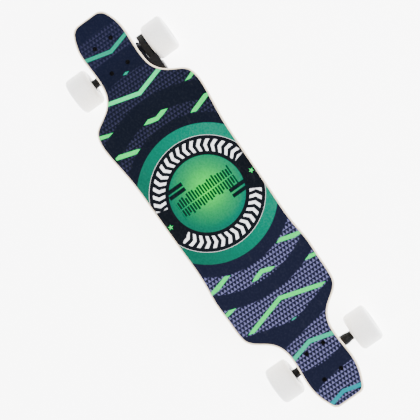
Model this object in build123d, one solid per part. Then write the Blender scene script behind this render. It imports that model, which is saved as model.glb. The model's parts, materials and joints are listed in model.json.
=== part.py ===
from build123d import *
import math
import os

# Electric longboard with one belt-driven rear wheel. Millimetres, +Z up, +X towards the front wheels,
# +Y to the left of travel. The origin is on the ground, midway between the two trucks.

# ---------------------------------------------------------------- driving dimensions
bolt_pitch_long = 63.5  # bolt pattern, along the board
bolt_pitch_wide = 41.3  # bolt pattern, across the board
bolt_diameter = 5.0
bolt_head_rim = 2.2  # reach of a countersunk head beyond its shank
bolt_socket_radius = 1.7
bolt_tail = 8.0  # bolt length below the baseplate
deck_nut_radius_extra = 2.1
deck_nut_height = 4.2
bolt_clearance = 0.3  # on the radius of every bolt hole

deck_length = 966.0
deck_overhang = 95.0  # from each bolt pattern's centre to the end of the deck
deck_thickness = 11.4
deck_edge_radius = 3.2
concave_flat_half = 80.0  # half-width of the flat middle of the deck
concave_radius = 170.0  # radius of the raised rails
sheet_thickness = 0.6
sheet_inset = 3.6  # wooden rim left showing round the printed sheet

rear_tip_half = 20.0
rear_neck_half = 54.8
rear_shoulder_half = 124.6
waist_half = 112.4
front_shoulder_half = 117.6
front_neck_half = 52.8
front_tip_half = 22.0
outline_length = 966.0  # deck length that the outline's stations are drawn at, before they stretch with it
neck_x = 382.0
rear_shoulder_x = -230.0
waist_x = 95.0
front_shoulder_x = 165.0

truck_height = 67.5  # from the axle up to the top of the baseplate
riser_thickness = 10.0
plate_thickness = 7.0
plate_half_width = 31.0
plate_inboard = 52.0  # baseplate reach from the bolt pattern's centre towards the middle of the board
plate_outboard = 43.0
plate_corner = 9.0

wheel_diameter = 83.0
wheel_width = 51.5
wheel_inner_y = 74.5  # inner face of each wheel
wheel_edge_radius = 9.0
wheel_dish = 3.0  # depth of the step round the core
core_recess = 3.6
core_radius = 20.5
axle_inset = 10.0  # each axle lies this far inboard of its bolt pattern's centre
axle_diameter = 8.0
bearing_outer = 22.0
bearing_width = 7.0
bearing_depth = 10.5  # from the wheel's face to its bearing
race_gap = 0.9  # half the space between the two races
nut_across = 13.0
nut_length = 7.0
speed_ring = 0.9  # washer between the outer bearing and the nut
axle_tip = 1.5  # axle beyond the nut

steer_angle = 44.0  # steering axis above the horizontal
rake = 10.0  # axle below the steering axis
nose_reach = 20.0  # from the pivot cup's centre to the axle, along the steering axis
ring_reach = 44.0  # from the pivot cup's centre to the kingpin, along the steering axis
hanger_end_y = 77.0
hanger_end_radius = 10.0
hanger_flare_radius = 12.0
hanger_flare_y = 52.0
ring_radius = 15.0
ring_bore = 8.0
ring_thickness = 8.0
kingpin_diameter = 10.0
bushing_radius = 11.5
bushing_length = 14.0
washer_radius = 12.5
washer_thickness = 1.6
pivot_radius = 5.5
pivot_cup_wall = 2.6
running_clearance = 0.3
heel_half_width = 11.5
block_margin = 3.0  # metal round the pivot cup
pivot_cup_floor = 2.4
kingpin_head_height = 9.0
kingpin_head_radius = 8.0
kingpin_seat_depth = 24.6  # from the baseplate's underside to the kingpin's head, along the kingpin
kingpin_tail = 12.0
kingpin_nut_radius_extra = 3.6
kingpin_nut_height = 7.0

belt_pitch = 5.0
wheel_teeth = 36
motor_teeth = 16
belt_length = 285.0
belt_width = 12.0
belt_thickness = 2.2
drive_rise = 10.0  # degrees from the wheel axle up to the motor axle
pulley_gap = 1.0  # between the wheel's face and its pulley
flange_height = 2.4
flange_thickness = 1.2
motor_radius = 25.0
motor_length = 52.0
motor_shaft_diameter = 8.0
mount_thickness = 7.0
mount_y = 49.0  # inner face of the motor mount
clamp_wall = 6.0
cover_wall = 2.0
cover_gap = 3.0
cover_start = 35.0  # where the belt cover begins, measured from the wheel axle towards the motor
mount_hole_radius = 14.0  # circle of the screws that hold the motor
motor_screw_turns = [45, 135, 225, 315]
motor_boss_radius = 8.2
clamp_slit = 1.6
clamp_screw_gap = 3.6  # from the clamp's bore to its screw
clamp_head_h = 6.5
clamp_head_radius = 3.3
ear_radius = 3.4
ear_height = 2.5
ear_turn = 62.0  # degrees from the drive's centre line to each ear
ear_stand_off = 3.2
cover_screw_radius = 1.5
cover_head_radius = 2.5

battery_rear_x = -24.0
battery_length = 276.0
case_depth = 30.0
case_wall = 2.5
case_flange = 10.0
case_corner = 9.0
gasket_thickness = 1.5
cell_diameter = 18.4
cell_length = 65.2
cell_pitch = 19.0
cell_rows = 10
cell_gap = 0.4  # beside each end of a cell
cell_start = 42.0  # from the inside of the case to the first cell's axis
controller_rear_x = -240.0
controller_length = 150.0
controller_half_width = 62.0
flange_height_z = 2.5
board_thickness = 1.6
screw_diameter = 4.0
screw_head_radius = 3.8
screw_head_height = 2.2
screw_length = 8.0
screw_clearance = 0.2
button_diameter = 13.0
button_wall = 1.2  # wall of the bezel round the button
button_inset = 40.0  # from the end of the controller case
socket_radius = 8.0
socket_rim = 1.5
socket_inset = 32.0  # from the end of the battery case
cap_thickness = 2.5
cable_diameter = 7.0
cable_drop = 12.0  # from the flange down to the cables' ports
motor_cable_y = -36.0
link_y = 0.0
sink_length = 84.0
sink_half_width = 34.0
sink_offset = 8.0  # from the middle of the controller case
sink_fin_pitch = 5.0
sink_fins = 12

# ---------------------------------------------------------------- values that follow
wheel_radius = wheel_diameter / 2
axle_z = wheel_radius
riser_bottom_z = axle_z + truck_height
plate_bottom_z = riser_bottom_z - plate_thickness
deck_bottom_z = riser_bottom_z + riser_thickness
deck_top_z = deck_bottom_z + deck_thickness
bolt_head_diameter = bolt_diameter + 2 * bolt_head_rim
truck_x = deck_length / 2 - deck_overhang
axle_x = truck_x - axle_inset
deck_half = deck_length / 2
deck_stretch = deck_length / outline_length
bolt_places = [(sx * bolt_pitch_long / 2, sy * bolt_pitch_wide / 2) for sx in (-1, 1) for sy in (-1, 1)]
bolt_hole_radius = bolt_diameter / 2 + bolt_clearance
wheel_outer_y = wheel_inner_y + wheel_width
kingpin_radius = kingpin_diameter / 2
wheel_pulley_radius = wheel_teeth * belt_pitch / math.pi / 2 - 0.6
motor_pulley_radius = motor_teeth * belt_pitch / math.pi / 2 - 0.6
pitch_sum = (wheel_teeth + motor_teeth) * belt_pitch / 2
pitch_step = (wheel_teeth - motor_teeth) * belt_pitch / (2 * math.pi)
belt_free = (belt_length - pitch_sum) / 2
drive_centres = (belt_free + math.sqrt(belt_free**2 - pitch_step**2)) / 2
rise = math.radians(drive_rise)
motor_x = -axle_x + drive_centres * math.cos(rise)
motor_z = axle_z + drive_centres * math.sin(rise)
pulley_outer_y = wheel_inner_y - pulley_gap
belt_outer_y = pulley_outer_y - flange_thickness - 0.4
belt_inner_y = belt_outer_y - belt_width
pulley_inner_y = belt_inner_y - flange_thickness - 0.4
mount_outer_y = mount_y + mount_thickness
motor_inner_y = mount_y - motor_length
clamp_radius = hanger_flare_radius + clamp_wall
clamp_screw_d = -(hanger_flare_radius + clamp_screw_gap)
cover_outer = running_clearance + belt_thickness + cover_gap + cover_wall
ear_reach = motor_pulley_radius + cover_outer + ear_stand_off

# Pivot and kingpin.
cup_outer = pivot_radius + running_clearance + pivot_cup_wall
cup_floor = pivot_radius + running_clearance + pivot_cup_floor
block_half = cup_outer + block_margin
bushing_end_k = ring_thickness / 2 + bushing_length
seat_k = -(bushing_end_k + washer_thickness)
head_top_k = seat_k - kingpin_seat_depth

# Axle stack, outwards from the hanger's end: speed ring, bearing, spacer, bearing, speed ring, nut.
inner_bearing_y = wheel_inner_y + bearing_depth
outer_bearing_y = wheel_outer_y - bearing_depth - bearing_width
nut_y = outer_bearing_y + bearing_width + speed_ring
race_mid = (bearing_outer + axle_diameter) / 4
axle_end_y = nut_y + nut_length + axle_tip

# Cases under the deck.
case_top_z = deck_bottom_z - gasket_thickness
case_bottom_z = case_top_z - case_depth
flange_bottom_z = case_top_z - flange_height_z
battery_half_width = cell_length + 2 * cell_gap + case_wall + case_flange
socket_x = battery_rear_x + battery_length - socket_inset
socket_z = case_top_z - case_depth / 2 - 1.5
socket_wall_y = battery_half_width - case_flange
cap_hinge_y = socket_wall_y + 2.0
cap_hinge_z = socket_z + socket_radius + 2.4
button_x = controller_rear_x + controller_length - button_inset
button_wall_y = controller_half_width - case_flange
sink_x = controller_rear_x + controller_length / 2 + sink_offset
link_z = case_top_z - cable_drop
cable_port_z = link_z

# Side view of a truck: u points outboard from the bolt pattern's centre, z points up.
slope = math.radians(steer_angle)
along = (math.cos(slope), math.sin(slope))
across = (math.sin(slope), -math.cos(slope))


def side_point(a, k):
    """Point (u, z) at a along the steering axis from the pivot cup, and k below it."""
    nearest = (-axle_inset - rake * across[0], axle_z - rake * across[1])
    pivot = (nearest[0] - nose_reach * along[0], nearest[1] - nose_reach * along[1])
    return (pivot[0] + a * along[0] + k * across[0], pivot[1] + a * along[1] + k * across[1])


def at_front(shape):
    """Carry a truck piece from its own frame to the front of the board."""
    return Pos(truck_x, 0, 0) * shape


def at_rear(shape):
    """Carry a truck piece from its own frame to the rear of the board, turned about."""
    return Pos(-truck_x, 0, 0) * Rot(0, 0, 180) * shape


def steer_plane(a, k):
    """Plane in a truck whose normal is the steering axis, pointing up and outboard."""
    u, z = side_point(a, k)
    return Plane(origin=(u, 0, z), x_dir=(0, 1, 0), z_dir=(along[0], 0, along[1]))


def kingpin_plane(a, k):
    """Plane in a truck whose normal is the kingpin's axis, pointing down and outboard."""
    u, z = side_point(a, k)
    return Plane(origin=(u, 0, z), x_dir=(0, 1, 0), z_dir=(across[0], 0, across[1]))


def cross_cylinder(x, z, radius, y_low, y_high):
    """Cylinder along Y between two Y values."""
    middle = Pos(x, (y_low + y_high) / 2, z) * Rot(90, 0, 0)
    return middle * Cylinder(radius, y_high - y_low)


def cross_ring(x, z, outer, inner, y_low, y_high):
    """Ring along Y between two Y values."""
    return cross_cylinder(x, z, outer, y_low, y_high) - cross_cylinder(x, z, inner, y_low - 1, y_high + 1)


def extrude_side(points, half_width):
    """Polygon in a truck's side view, extruded to both sides of its middle plane."""
    face = make_face(Plane.XZ * Polyline(*points, close=True))
    return extrude(face, half_width, both=True)


def group(shapes):
    """Several separate solids as one compound."""
    solids = []
    for shape in shapes:
        solids.extend(shape.solids())
    return Compound(children=solids)


# ---------------------------------------------------------------- deck
def deck_stations():
    """Half-outline of the deck between its two rounded ends, left side."""
    rear, front = -outline_length / 2, outline_length / 2
    neck_rear, neck_front = -neck_x, neck_x
    stations = [
        (rear + 15, rear_neck_half - 11.2),
        (rear + 30, rear_neck_half - 5),
        (rear + 46, rear_neck_half - 0.9),
        (neck_rear - 12, rear_neck_half),
        (neck_rear + 38, rear_neck_half - 0.2),
        (neck_rear + 56, rear_neck_half + 3.4),
        (neck_rear + 76, rear_neck_half + 15.5),
        (rear_shoulder_x - 54, rear_shoulder_half - 23),
        (rear_shoulder_x - 40, rear_shoulder_half - 6.2),
        (rear_shoulder_x - 24, rear_shoulder_half - 0.2),
        (rear_shoulder_x + 26, rear_shoulder_half - 0.4),
        (rear_shoulder_x + 84, rear_shoulder_half - 7),
        ((rear_shoulder_x + waist_x) / 2, waist_half + 2.6),
        (waist_x - 50, waist_half + 0.8),
        (waist_x, waist_half),
        (waist_x + 35, waist_half + 2),
        (front_shoulder_x, front_shoulder_half),
        (front_shoulder_x + 40, front_shoulder_half - 1.2),
        (front_shoulder_x + 86, front_shoulder_half - 2.6),
        (front_shoulder_x + 102, front_shoulder_half - 6.6),
        (front_shoulder_x + 116, front_shoulder_half - 18.5),
        (neck_front - 82, front_neck_half + 20.5),
        (neck_front - 66, front_neck_half + 7.8),
        (neck_front - 48, front_neck_half + 1.6),
        (neck_front - 26, front_neck_half),
        (neck_front + 2, front_neck_half + 1.6),
        (neck_front + 28, front_neck_half + 3),
        (neck_front + 50, front_neck_half + 1.2),
        (front - 30, front_neck_half - 4.6),
        (front - 13, front_neck_half - 12.2),
    ]
    return [(x * deck_stretch, y) for x, y in stations]


def moved_inwards(points, distance):
    """Points of the left half-outline, each moved square to the edge towards the middle of the deck."""
    moved = []
    for i, (x, y) in enumerate(points):
        before = points[max(i - 1, 0)]
        after = points[min(i + 1, len(points) - 1)]
        run, rise_y = after[0] - before[0], after[1] - before[1]
        length = math.hypot(run, rise_y)
        moved.append((x + distance * rise_y / length, y - distance * run / length))
    return moved


def deck_outline(inset=0.0):
    """Closed outline of the deck seen from above, as a face at ground level."""
    stations = moved_inwards(deck_stations(), inset)
    start, finish = stations[0], stations[-1]
    rear, front = -deck_half + inset, deck_half - inset
    rear_half, front_half = rear_tip_half - inset / 2, front_tip_half - inset / 2
    left = [
        ThreePointArc((rear, rear_half), (rear + 4.4, (rear_half + start[1]) / 2 + 3.8), start),
        Spline(*stations),
        ThreePointArc(finish, (front - 3.8, (front_half + finish[1]) / 2 + 3.4), (front, front_half)),
    ]
    right = [mirror(edge, about=Plane.XZ) for edge in left]
    rear_end = Line((rear, rear_half), (rear, -rear_half))
    front_end = Line((front, front_half), (front, -front_half))
    return make_face([*left, *right, rear_end, front_end])


def deck_slab(top_z, thickness):
    """Full-length slab with the deck's concave section, before its outline is cut."""
    reach = rear_shoulder_half + 12
    turn = math.asin((reach - concave_flat_half) / concave_radius)
    lower_radius = concave_radius - (top_z - thickness - deck_bottom_z)
    upper_radius = lower_radius - thickness

    def rail(radius, z, side):
        middle = turn / 2
        centre_z = z + radius
        mid_y = concave_flat_half + radius * math.sin(middle)
        mid_point = (side * mid_y, centre_z - radius * math.cos(middle))
        end_point = (side * (concave_flat_half + radius * math.sin(turn)), centre_z - radius * math.cos(turn))
        return mid_point, end_point

    top_right, bottom_right = rail(upper_radius, top_z, 1), rail(lower_radius, top_z - thickness, 1)
    top_left, bottom_left = rail(upper_radius, top_z, -1), rail(lower_radius, top_z - thickness, -1)
    low = top_z - thickness
    edges = [
        Line((-concave_flat_half, top_z), (concave_flat_half, top_z)),
        ThreePointArc((concave_flat_half, top_z), top_right[0], top_right[1]),
        Line(top_right[1], bottom_right[1]),
        ThreePointArc(bottom_right[1], bottom_right[0], (concave_flat_half, low)),
        Line((concave_flat_half, low), (-concave_flat_half, low)),
        ThreePointArc((-concave_flat_half, low), bottom_left[0], bottom_left[1]),
        Line(bottom_left[1], top_left[1]),
        ThreePointArc(top_left[1], top_left[0], (-concave_flat_half, top_z)),
    ]
    section = Plane.YZ * make_face(edges)
    return Pos(-deck_half - 10, 0, 0) * extrude(section, deck_length + 20)


def bolt_bores(radius, z_low, z_high):
    """Cylinders on both bolt patterns, to be cut from what the deck bolts pass through."""
    middle = (z_low + z_high) / 2
    return [
        Pos(end * truck_x + px, py, middle) * Cylinder(radius, z_high - z_low)
        for end in (-1, 1)
        for px, py in bolt_places
    ]


def countersinks():
    """Cones that seat the bolt heads flush with the printed sheet."""
    depth = bolt_head_rim + 0.6
    top = deck_top_z + sheet_thickness
    head = bolt_head_diameter / 2 + bolt_clearance
    return [
        Pos(end * truck_x + px, py, top - depth / 2) * Cone(bolt_hole_radius, head, depth)
        for end in (-1, 1)
        for px, py in bolt_places
    ]


def make_deck():
    blank = extrude(deck_outline(), 200) & deck_slab(deck_top_z, deck_thickness)
    rounded = fillet(rim_edges(blank), deck_edge_radius)
    cut = rounded - bolt_bores(bolt_hole_radius, 0, 200) - countersinks()
    return cut


def rim_edges(blank):
    """Every edge that runs round the deck's top or bottom face."""
    walls = [f for f in blank.faces() if abs(f.normal_at(None).Z) < 0.5]
    found = []
    for edge in blank.edges():
        touching = [w for w in walls if any(edge.is_same(other) for other in w.edges())]
        if len(touching) == 1:
            found.append(edge)
    return found


def make_sheet():
    sheet = extrude(deck_outline(sheet_inset), 200) & deck_slab(deck_top_z + sheet_thickness, sheet_thickness)
    return sheet - bolt_bores(bolt_hole_radius, 0, 200) - countersinks()


def make_deck_bolt():
    """One countersunk deck bolt, standing with the top of its head at the origin."""
    head_height = bolt_head_rim + 0.4
    reach = sheet_thickness + deck_thickness + riser_thickness + plate_thickness + bolt_tail
    head = Pos(0, 0, -head_height / 2) * Cone(bolt_diameter / 2, bolt_head_diameter / 2, head_height)
    shank = Pos(0, 0, -reach / 2 - head_height / 2) * Cylinder(bolt_diameter / 2, reach - head_height)
    socket = extrude(RegularPolygon(bolt_socket_radius, 6), -2)
    return head + shank - socket


def make_deck_nut():
    """One locking nut under a baseplate, its top face at the origin."""
    across_corners = bolt_diameter / 2 + deck_nut_radius_extra
    body = extrude(RegularPolygon(across_corners, 6), -deck_nut_height)
    collar = Pos(0, 0, -deck_nut_height - 0.7) * Cylinder(across_corners - 0.7, 1.6)
    return body + collar - Cylinder(bolt_diameter / 2, 30)


# ---------------------------------------------------------------- trucks
def plate_blank(low_z, thickness):
    """Rounded rectangle that the riser and the baseplate share."""
    outline = RectangleRounded(plate_inboard + plate_outboard, 2 * plate_half_width, plate_corner)
    return Pos((plate_outboard - plate_inboard) / 2, 0, low_z) * extrude(outline, thickness)


def make_riser():
    riser = plate_blank(riser_bottom_z, riser_thickness)
    return riser - pattern_bores(bolt_hole_radius, riser_bottom_z - 1, deck_bottom_z + 1)


def pattern_bores(radius, z_low, z_high):
    """Cylinders on one bolt pattern in a truck's own frame."""
    middle = (z_low + z_high) / 2
    return [Pos(px, py, middle) * Cylinder(radius, z_high - z_low) for px, py in bolt_places]


def make_baseplate():
    plate = plate_blank(plate_bottom_z, plate_thickness)
    plate = fillet(plate.edges().group_by(Axis.Z)[0], 1.5)
    seat_top = side_point(ring_reach, seat_k)
    climb = (plate_bottom_z + 2 - seat_top[1]) / along[1]
    profile = [
        (seat_top[0] + climb * along[0], plate_bottom_z + 2),
        side_point(ring_reach - bushing_radius - 2, seat_k),
        side_point(8, -block_half),
        side_point(8, block_half),
        side_point(-cup_floor - 2, block_half),
        side_point(-cup_floor - 3, -block_half + 4),
        (-plate_inboard + 4, plate_bottom_z - 20),
        (-plate_inboard + 3, plate_bottom_z + 2),
    ]
    heel = extrude_side(profile, heel_half_width)
    heel = fillet(heel.edges().filter_by(Axis.Y), 1.2)
    ribs = [
        Pos(0, side * (heel_half_width - 1.5), 0)
        * extrude_side(
            [
                (seat_top[0] + climb * along[0] + 14, plate_bottom_z + 1),
                side_point(ring_reach - 4, seat_k - 4),
                (-plate_inboard + 8, plate_bottom_z - 12),
                (-plate_inboard + 6, plate_bottom_z + 1),
            ],
            1.5,
        )
        for side in (-1, 1)
    ]
    body = plate + heel + ribs
    mouth = pivot_radius + 3.0
    depth = cup_floor + mouth
    pivot_pocket = steer_plane(mouth, 0) * Pos(0, 0, -depth / 2) * Cylinder(cup_outer, depth)
    shank_bore = kingpin_plane(ring_reach, seat_k) * Pos(0, 0, -30) * Cylinder(kingpin_radius, 80)
    pocket_radius = kingpin_head_radius + 1.4
    head_pocket = kingpin_plane(ring_reach, head_top_k) * Pos(0, 0, -20) * Cylinder(pocket_radius, 40)
    body = body - pivot_pocket - shank_bore - head_pocket
    return body - pattern_bores(bolt_hole_radius, plate_bottom_z - 30, riser_bottom_z + 1)


def make_pivot_cup():
    depth = cup_floor + 6
    outer = steer_plane(6, 0) * Pos(0, 0, -depth / 2) * Cylinder(cup_outer, depth)
    inner_radius = pivot_radius + running_clearance
    inner = steer_plane(0, 0) * Sphere(inner_radius)
    mouth = steer_plane(0, 0) * Pos(0, 0, 5) * Cylinder(inner_radius, 10)
    return outer - inner - mouth


def make_kingpin():
    tail_k = bushing_end_k + washer_thickness + kingpin_tail
    length = tail_k - head_top_k
    plane = kingpin_plane(ring_reach, head_top_k)
    shank = plane * Pos(0, 0, length / 2) * Cylinder(kingpin_radius, length)
    head = plane * extrude(RegularPolygon(kingpin_head_radius, 6), -kingpin_head_height)
    tip = shank.edges().filter_by(GeomType.CIRCLE).sort_by(Axis.Z)[0]
    return chamfer(tip, 1.0) + head


def make_bushings():
    pieces = []
    for start in (ring_thickness / 2, -bushing_end_k):
        plane = kingpin_plane(ring_reach, start + bushing_length / 2)
        barrel = plane * Cylinder(bushing_radius, bushing_length)
        barrel = fillet(barrel.edges().filter_by(GeomType.CIRCLE), 1.6)
        pieces.append(barrel - plane * Cylinder(kingpin_radius, bushing_length + 2))
    return group(pieces)


def make_cup_washers():
    pieces = []
    for start in (bushing_end_k, -bushing_end_k - washer_thickness):
        plane = kingpin_plane(ring_reach, start + washer_thickness / 2)
        pieces.append(plane * (Cylinder(washer_radius, washer_thickness) - Cylinder(kingpin_radius, 9)))
    return pieces


def make_kingpin_nut():
    plane = kingpin_plane(ring_reach, bushing_end_k + washer_thickness)
    nut_radius = kingpin_radius + kingpin_nut_radius_extra
    body = plane * extrude(RegularPolygon(nut_radius, 6), kingpin_nut_height)
    collar = plane * Pos(0, 0, kingpin_nut_height + 1.2) * Cylinder(nut_radius - 1.6, 2.4)
    return body + collar - plane * Cylinder(kingpin_radius, 60)


def make_hanger():
    """Hanger casting in a truck's own frame: beam, ring, web and pivot nose."""
    beam_points = [
        (0, 0),
        (hanger_end_radius - 0.8, 0),
        (hanger_end_radius, 1.0),
        (hanger_end_radius, hanger_end_y - hanger_flare_y - 14),
        (hanger_flare_radius, hanger_end_y - hanger_flare_y - 5),
        (hanger_flare_radius, hanger_end_y - hanger_flare_y + 4),
        (hanger_flare_radius - 0.4, hanger_end_y - 30),
        (hanger_end_radius + 0.3, hanger_end_y),
        (0, hanger_end_y),
    ]
    profile = make_face(Polyline(*beam_points, close=True))
    half_beam = revolve(profile, Axis.Y)
    right = Pos(-axle_inset, -hanger_end_y, axle_z) * half_beam
    left = mirror(right, about=Plane.XZ)
    web = extrude_side(
        [
            side_point(11, -5.6),
            side_point(16, -7),
            side_point(ring_reach - ring_radius + 3, -ring_thickness / 2),
            side_point(ring_reach - ring_radius + 3, ring_thickness / 2),
            side_point(nose_reach + 8, rake + 3),
            side_point(nose_reach, rake + 9),
            side_point(nose_reach - 7, rake + 5),
            side_point(11, 5.6),
        ],
        11,
    )
    web = fillet(web.edges().filter_by(Axis.Y), 1.0)
    gusset = extrude_side(
        [
            side_point(nose_reach - 6, rake - 8),
            side_point(nose_reach + 8, rake - 8),
            side_point(nose_reach + 8, rake + 2),
            side_point(nose_reach - 6, rake + 2),
        ],
        30,
    )
    ring = kingpin_plane(ring_reach, 0) * Cylinder(ring_radius, ring_thickness)
    ring = fillet(ring.edges().filter_by(GeomType.CIRCLE), 1.2)
    nose = steer_plane(0, 0) * Sphere(pivot_radius)
    stem = steer_plane(0, 0) * Pos(0, 0, 6.5) * Cylinder(pivot_radius, 13)
    body = right + left + web + gusset + ring + nose + stem
    body = body - kingpin_plane(ring_reach, 0) * Cylinder(ring_bore, 40)
    bore = cross_cylinder(-axle_inset, axle_z, axle_diameter / 2, -100, 100)
    return body - bore


def make_axle():
    rod = cross_cylinder(-axle_inset, axle_z, axle_diameter / 2, -axle_end_y, axle_end_y)
    return chamfer(rod.edges().filter_by(GeomType.CIRCLE), 0.8)


def make_axle_nuts():
    pieces = []
    for side in (-1, 1):
        plane = Plane(origin=(-axle_inset, side * nut_y, axle_z), x_dir=(1, 0, 0), z_dir=(0, side, 0))
        body = plane * extrude(RegularPolygon(nut_across / 2, 6, major_radius=False), nut_length - 2)
        collar = plane * Pos(0, 0, nut_length - 1) * Cylinder(nut_across / 2 - 1, 2)
        pieces.append(body + collar - plane * Cylinder(axle_diameter / 2, 40))
    return group(pieces)


def make_inner_races():
    inner = axle_diameter / 2
    outer = race_mid - race_gap
    pieces = []
    for side in (-1, 1):
        for y in (inner_bearing_y, outer_bearing_y):
            low = min(side * y, side * (y + bearing_width))
            pieces.append(cross_ring(-axle_inset, axle_z, outer, inner, low, low + bearing_width))
    return group(pieces)


def make_axle_spacers():
    inner = axle_diameter / 2
    outer = race_mid - race_gap - 0.8
    spans = [
        (hanger_end_y, inner_bearing_y),
        (inner_bearing_y + bearing_width, outer_bearing_y),
        (outer_bearing_y + bearing_width, nut_y),
    ]
    pieces = []
    for side in (-1, 1):
        for start, end in spans:
            low = min(side * start, side * end)
            pieces.append(cross_ring(-axle_inset, axle_z, outer, inner, low, low + end - start))
    return group(pieces)


# ---------------------------------------------------------------- wheels
def wheel_solid(points, x, side):
    """Revolve a half-section about an axle. Points are (radius, distance outwards from the inner face)."""
    return placed_wheel(revolve(make_face(Polyline(*points, close=True)), Axis.Y), x, side)


def placed_wheel(turned, x, side):
    """Carry a turned piece from its own axle to a wheel's place, mirrored on the right."""
    if side < 0:
        turned = mirror(turned, about=Plane.XZ)
    return Pos(x, side * wheel_inner_y, axle_z) * turned


def make_tyre(x, side):
    """Urethane tyre with a chamfered step round the core and round shoulders."""
    corner = wheel_edge_radius * (1 - math.sqrt(0.5))
    flat_start = core_radius + 2 * wheel_dish + 1

    def half(at):
        """Edges from the core to the tread on one face. The function at places a depth from that face."""
        return [
            Line((core_radius, at(wheel_dish)), (core_radius + wheel_dish, at(wheel_dish))),
            Line((core_radius + wheel_dish, at(wheel_dish)), (flat_start, at(0))),
            Line((flat_start, at(0)), (wheel_radius - wheel_edge_radius, at(0))),
            ThreePointArc(
                (wheel_radius - wheel_edge_radius, at(0)),
                (wheel_radius - corner, at(corner)),
                (wheel_radius, at(wheel_edge_radius)),
            ),
        ]

    tread = Line((wheel_radius, wheel_edge_radius), (wheel_radius, wheel_width - wheel_edge_radius))
    bore = Line((core_radius, wheel_dish), (core_radius, wheel_width - wheel_dish))
    edges = [*half(lambda depth: depth), *half(lambda depth: wheel_width - depth), tread, bore]
    return placed_wheel(revolve(make_face(edges), Axis.Y), x, side)


def make_core(x, side):
    hub = bearing_outer / 2 + 2.4
    seat = bearing_outer / 2
    race_hole = race_mid + race_gap + 0.6
    low = bearing_depth
    high = wheel_width - bearing_depth
    points = [
        (seat, low),
        (hub, low),
        (hub, low + 5),
        (core_radius - 3, low + 5),
        (core_radius - 3, core_recess),
        (core_radius, core_recess),
        (core_radius, wheel_width - core_recess),
        (core_radius - 3, wheel_width - core_recess),
        (core_radius - 3, high - 5),
        (hub, high - 5),
        (hub, high),
        (seat, high),
        (seat, high - bearing_width),
        (race_hole, high - bearing_width),
        (race_hole, low + bearing_width),
        (seat, low + bearing_width),
    ]
    return wheel_solid(points, x, side)


def make_outer_races(x, side):
    inner = race_mid + race_gap
    outer = bearing_outer / 2
    pieces = []
    for start in (bearing_depth, wheel_width - bearing_depth - bearing_width):
        end = start + bearing_width
        shield = race_mid - race_gap + 0.25
        points = [
            (shield, start + 0.4),
            (outer - 0.6, start + 0.4),
            (outer - 0.6, start),
            (outer, start),
            (outer, end),
            (outer - 0.6, end),
            (outer - 0.6, end - 0.4),
            (shield, end - 0.4),
            (shield, end - 1.0),
            (inner, end - 1.0),
            (inner, start + 1.0),
            (shield, start + 1.0),
        ]
        pieces.append(wheel_solid(points, x, side))
    return group(pieces)


# ---------------------------------------------------------------- drive
def toothed_disc(x, z, teeth, radius, bore, y_low, y_high):
    """Pulley body along Y with round-bottomed teeth."""
    body = cross_cylinder(x, z, radius, y_low, y_high)
    grooves = []
    for i in range(teeth):
        turn = 2 * math.pi * (i + 0.5) / teeth
        gx = x + (radius + 0.1) * math.cos(turn)
        gz = z + (radius + 0.1) * math.sin(turn)
        grooves.append(cross_cylinder(gx, gz, 1.55, y_low - 1, y_high + 1))
    return body - grooves - cross_cylinder(x, z, bore, y_low - 1, y_high + 1)


def make_wheel_pulley():
    x = -axle_x
    bore = hanger_end_radius + 3.5
    body = toothed_disc(x, axle_z, wheel_teeth, wheel_pulley_radius, bore, pulley_inner_y, pulley_outer_y)
    rim = wheel_pulley_radius + flange_height
    inner_flange = cross_ring(x, axle_z, rim, bore, pulley_inner_y, pulley_inner_y + flange_thickness)
    outer_flange = cross_ring(x, axle_z, rim, bore, pulley_outer_y - flange_thickness, pulley_outer_y)
    register = cross_ring(x, axle_z, core_radius - 0.2, bore, pulley_outer_y, wheel_inner_y + 3.4)
    lugs = []
    lug_radius = (core_radius - 3 + bearing_outer / 2 + 2.4) / 2
    for i in range(6):
        turn = 2 * math.pi * i / 6
        lx = x + lug_radius * math.cos(turn)
        lz = axle_z + lug_radius * math.sin(turn)
        lugs.append(cross_cylinder(lx, lz, 1.7, pulley_outer_y, wheel_inner_y + bearing_depth + 5))
    return body + inner_flange + outer_flange + register + lugs


def make_motor_pulley():
    bore = motor_shaft_diameter / 2
    radius = motor_pulley_radius
    body = toothed_disc(motor_x, motor_z, motor_teeth, radius, bore, pulley_inner_y, pulley_outer_y)
    rim = motor_pulley_radius + flange_height
    inner_flange = cross_ring(motor_x, motor_z, rim, bore, pulley_inner_y, pulley_inner_y + flange_thickness)
    outer_flange = cross_ring(motor_x, motor_z, rim, bore, pulley_outer_y - flange_thickness, pulley_outer_y)
    return body + inner_flange + outer_flange


def belt_loop(grow):
    """Face round both pulleys at a given height above their teeth."""
    big = wheel_pulley_radius + grow
    small = motor_pulley_radius + grow
    lean = math.acos((big - small) / drive_centres)
    plane = drive_plane(0, 0)
    top_big = (big * math.cos(lean), big * math.sin(lean))
    top_small = (drive_centres + small * math.cos(lean), small * math.sin(lean))
    bottom_big = (top_big[0], -top_big[1])
    bottom_small = (top_small[0], -top_small[1])
    edges = [
        Line(top_big, top_small),
        ThreePointArc(top_small, (drive_centres + small, 0), bottom_small),
        Line(bottom_small, bottom_big),
        ThreePointArc(bottom_big, (-big, 0), top_big),
    ]
    return plane * make_face(edges)


def belt_prism(grow, y_low, y_high):
    """Prism of the belt's loop between two Y values."""
    return Pos(0, y_high, 0) * extrude(belt_loop(grow), y_high - y_low, dir=(0, -1, 0))


def make_belt():
    outer = belt_prism(running_clearance + belt_thickness, belt_inner_y, belt_outer_y)
    return outer - belt_prism(running_clearance, belt_inner_y - 1, belt_outer_y + 1)


def drive_plane(d, y):
    """Upright plane at d from the wheel axle towards the motor axle, with X along that line."""
    return Plane(origin=drive_point(d, 0, y), x_dir=(math.cos(rise), 0, math.sin(rise)), z_dir=(0, -1, 0))


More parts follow.
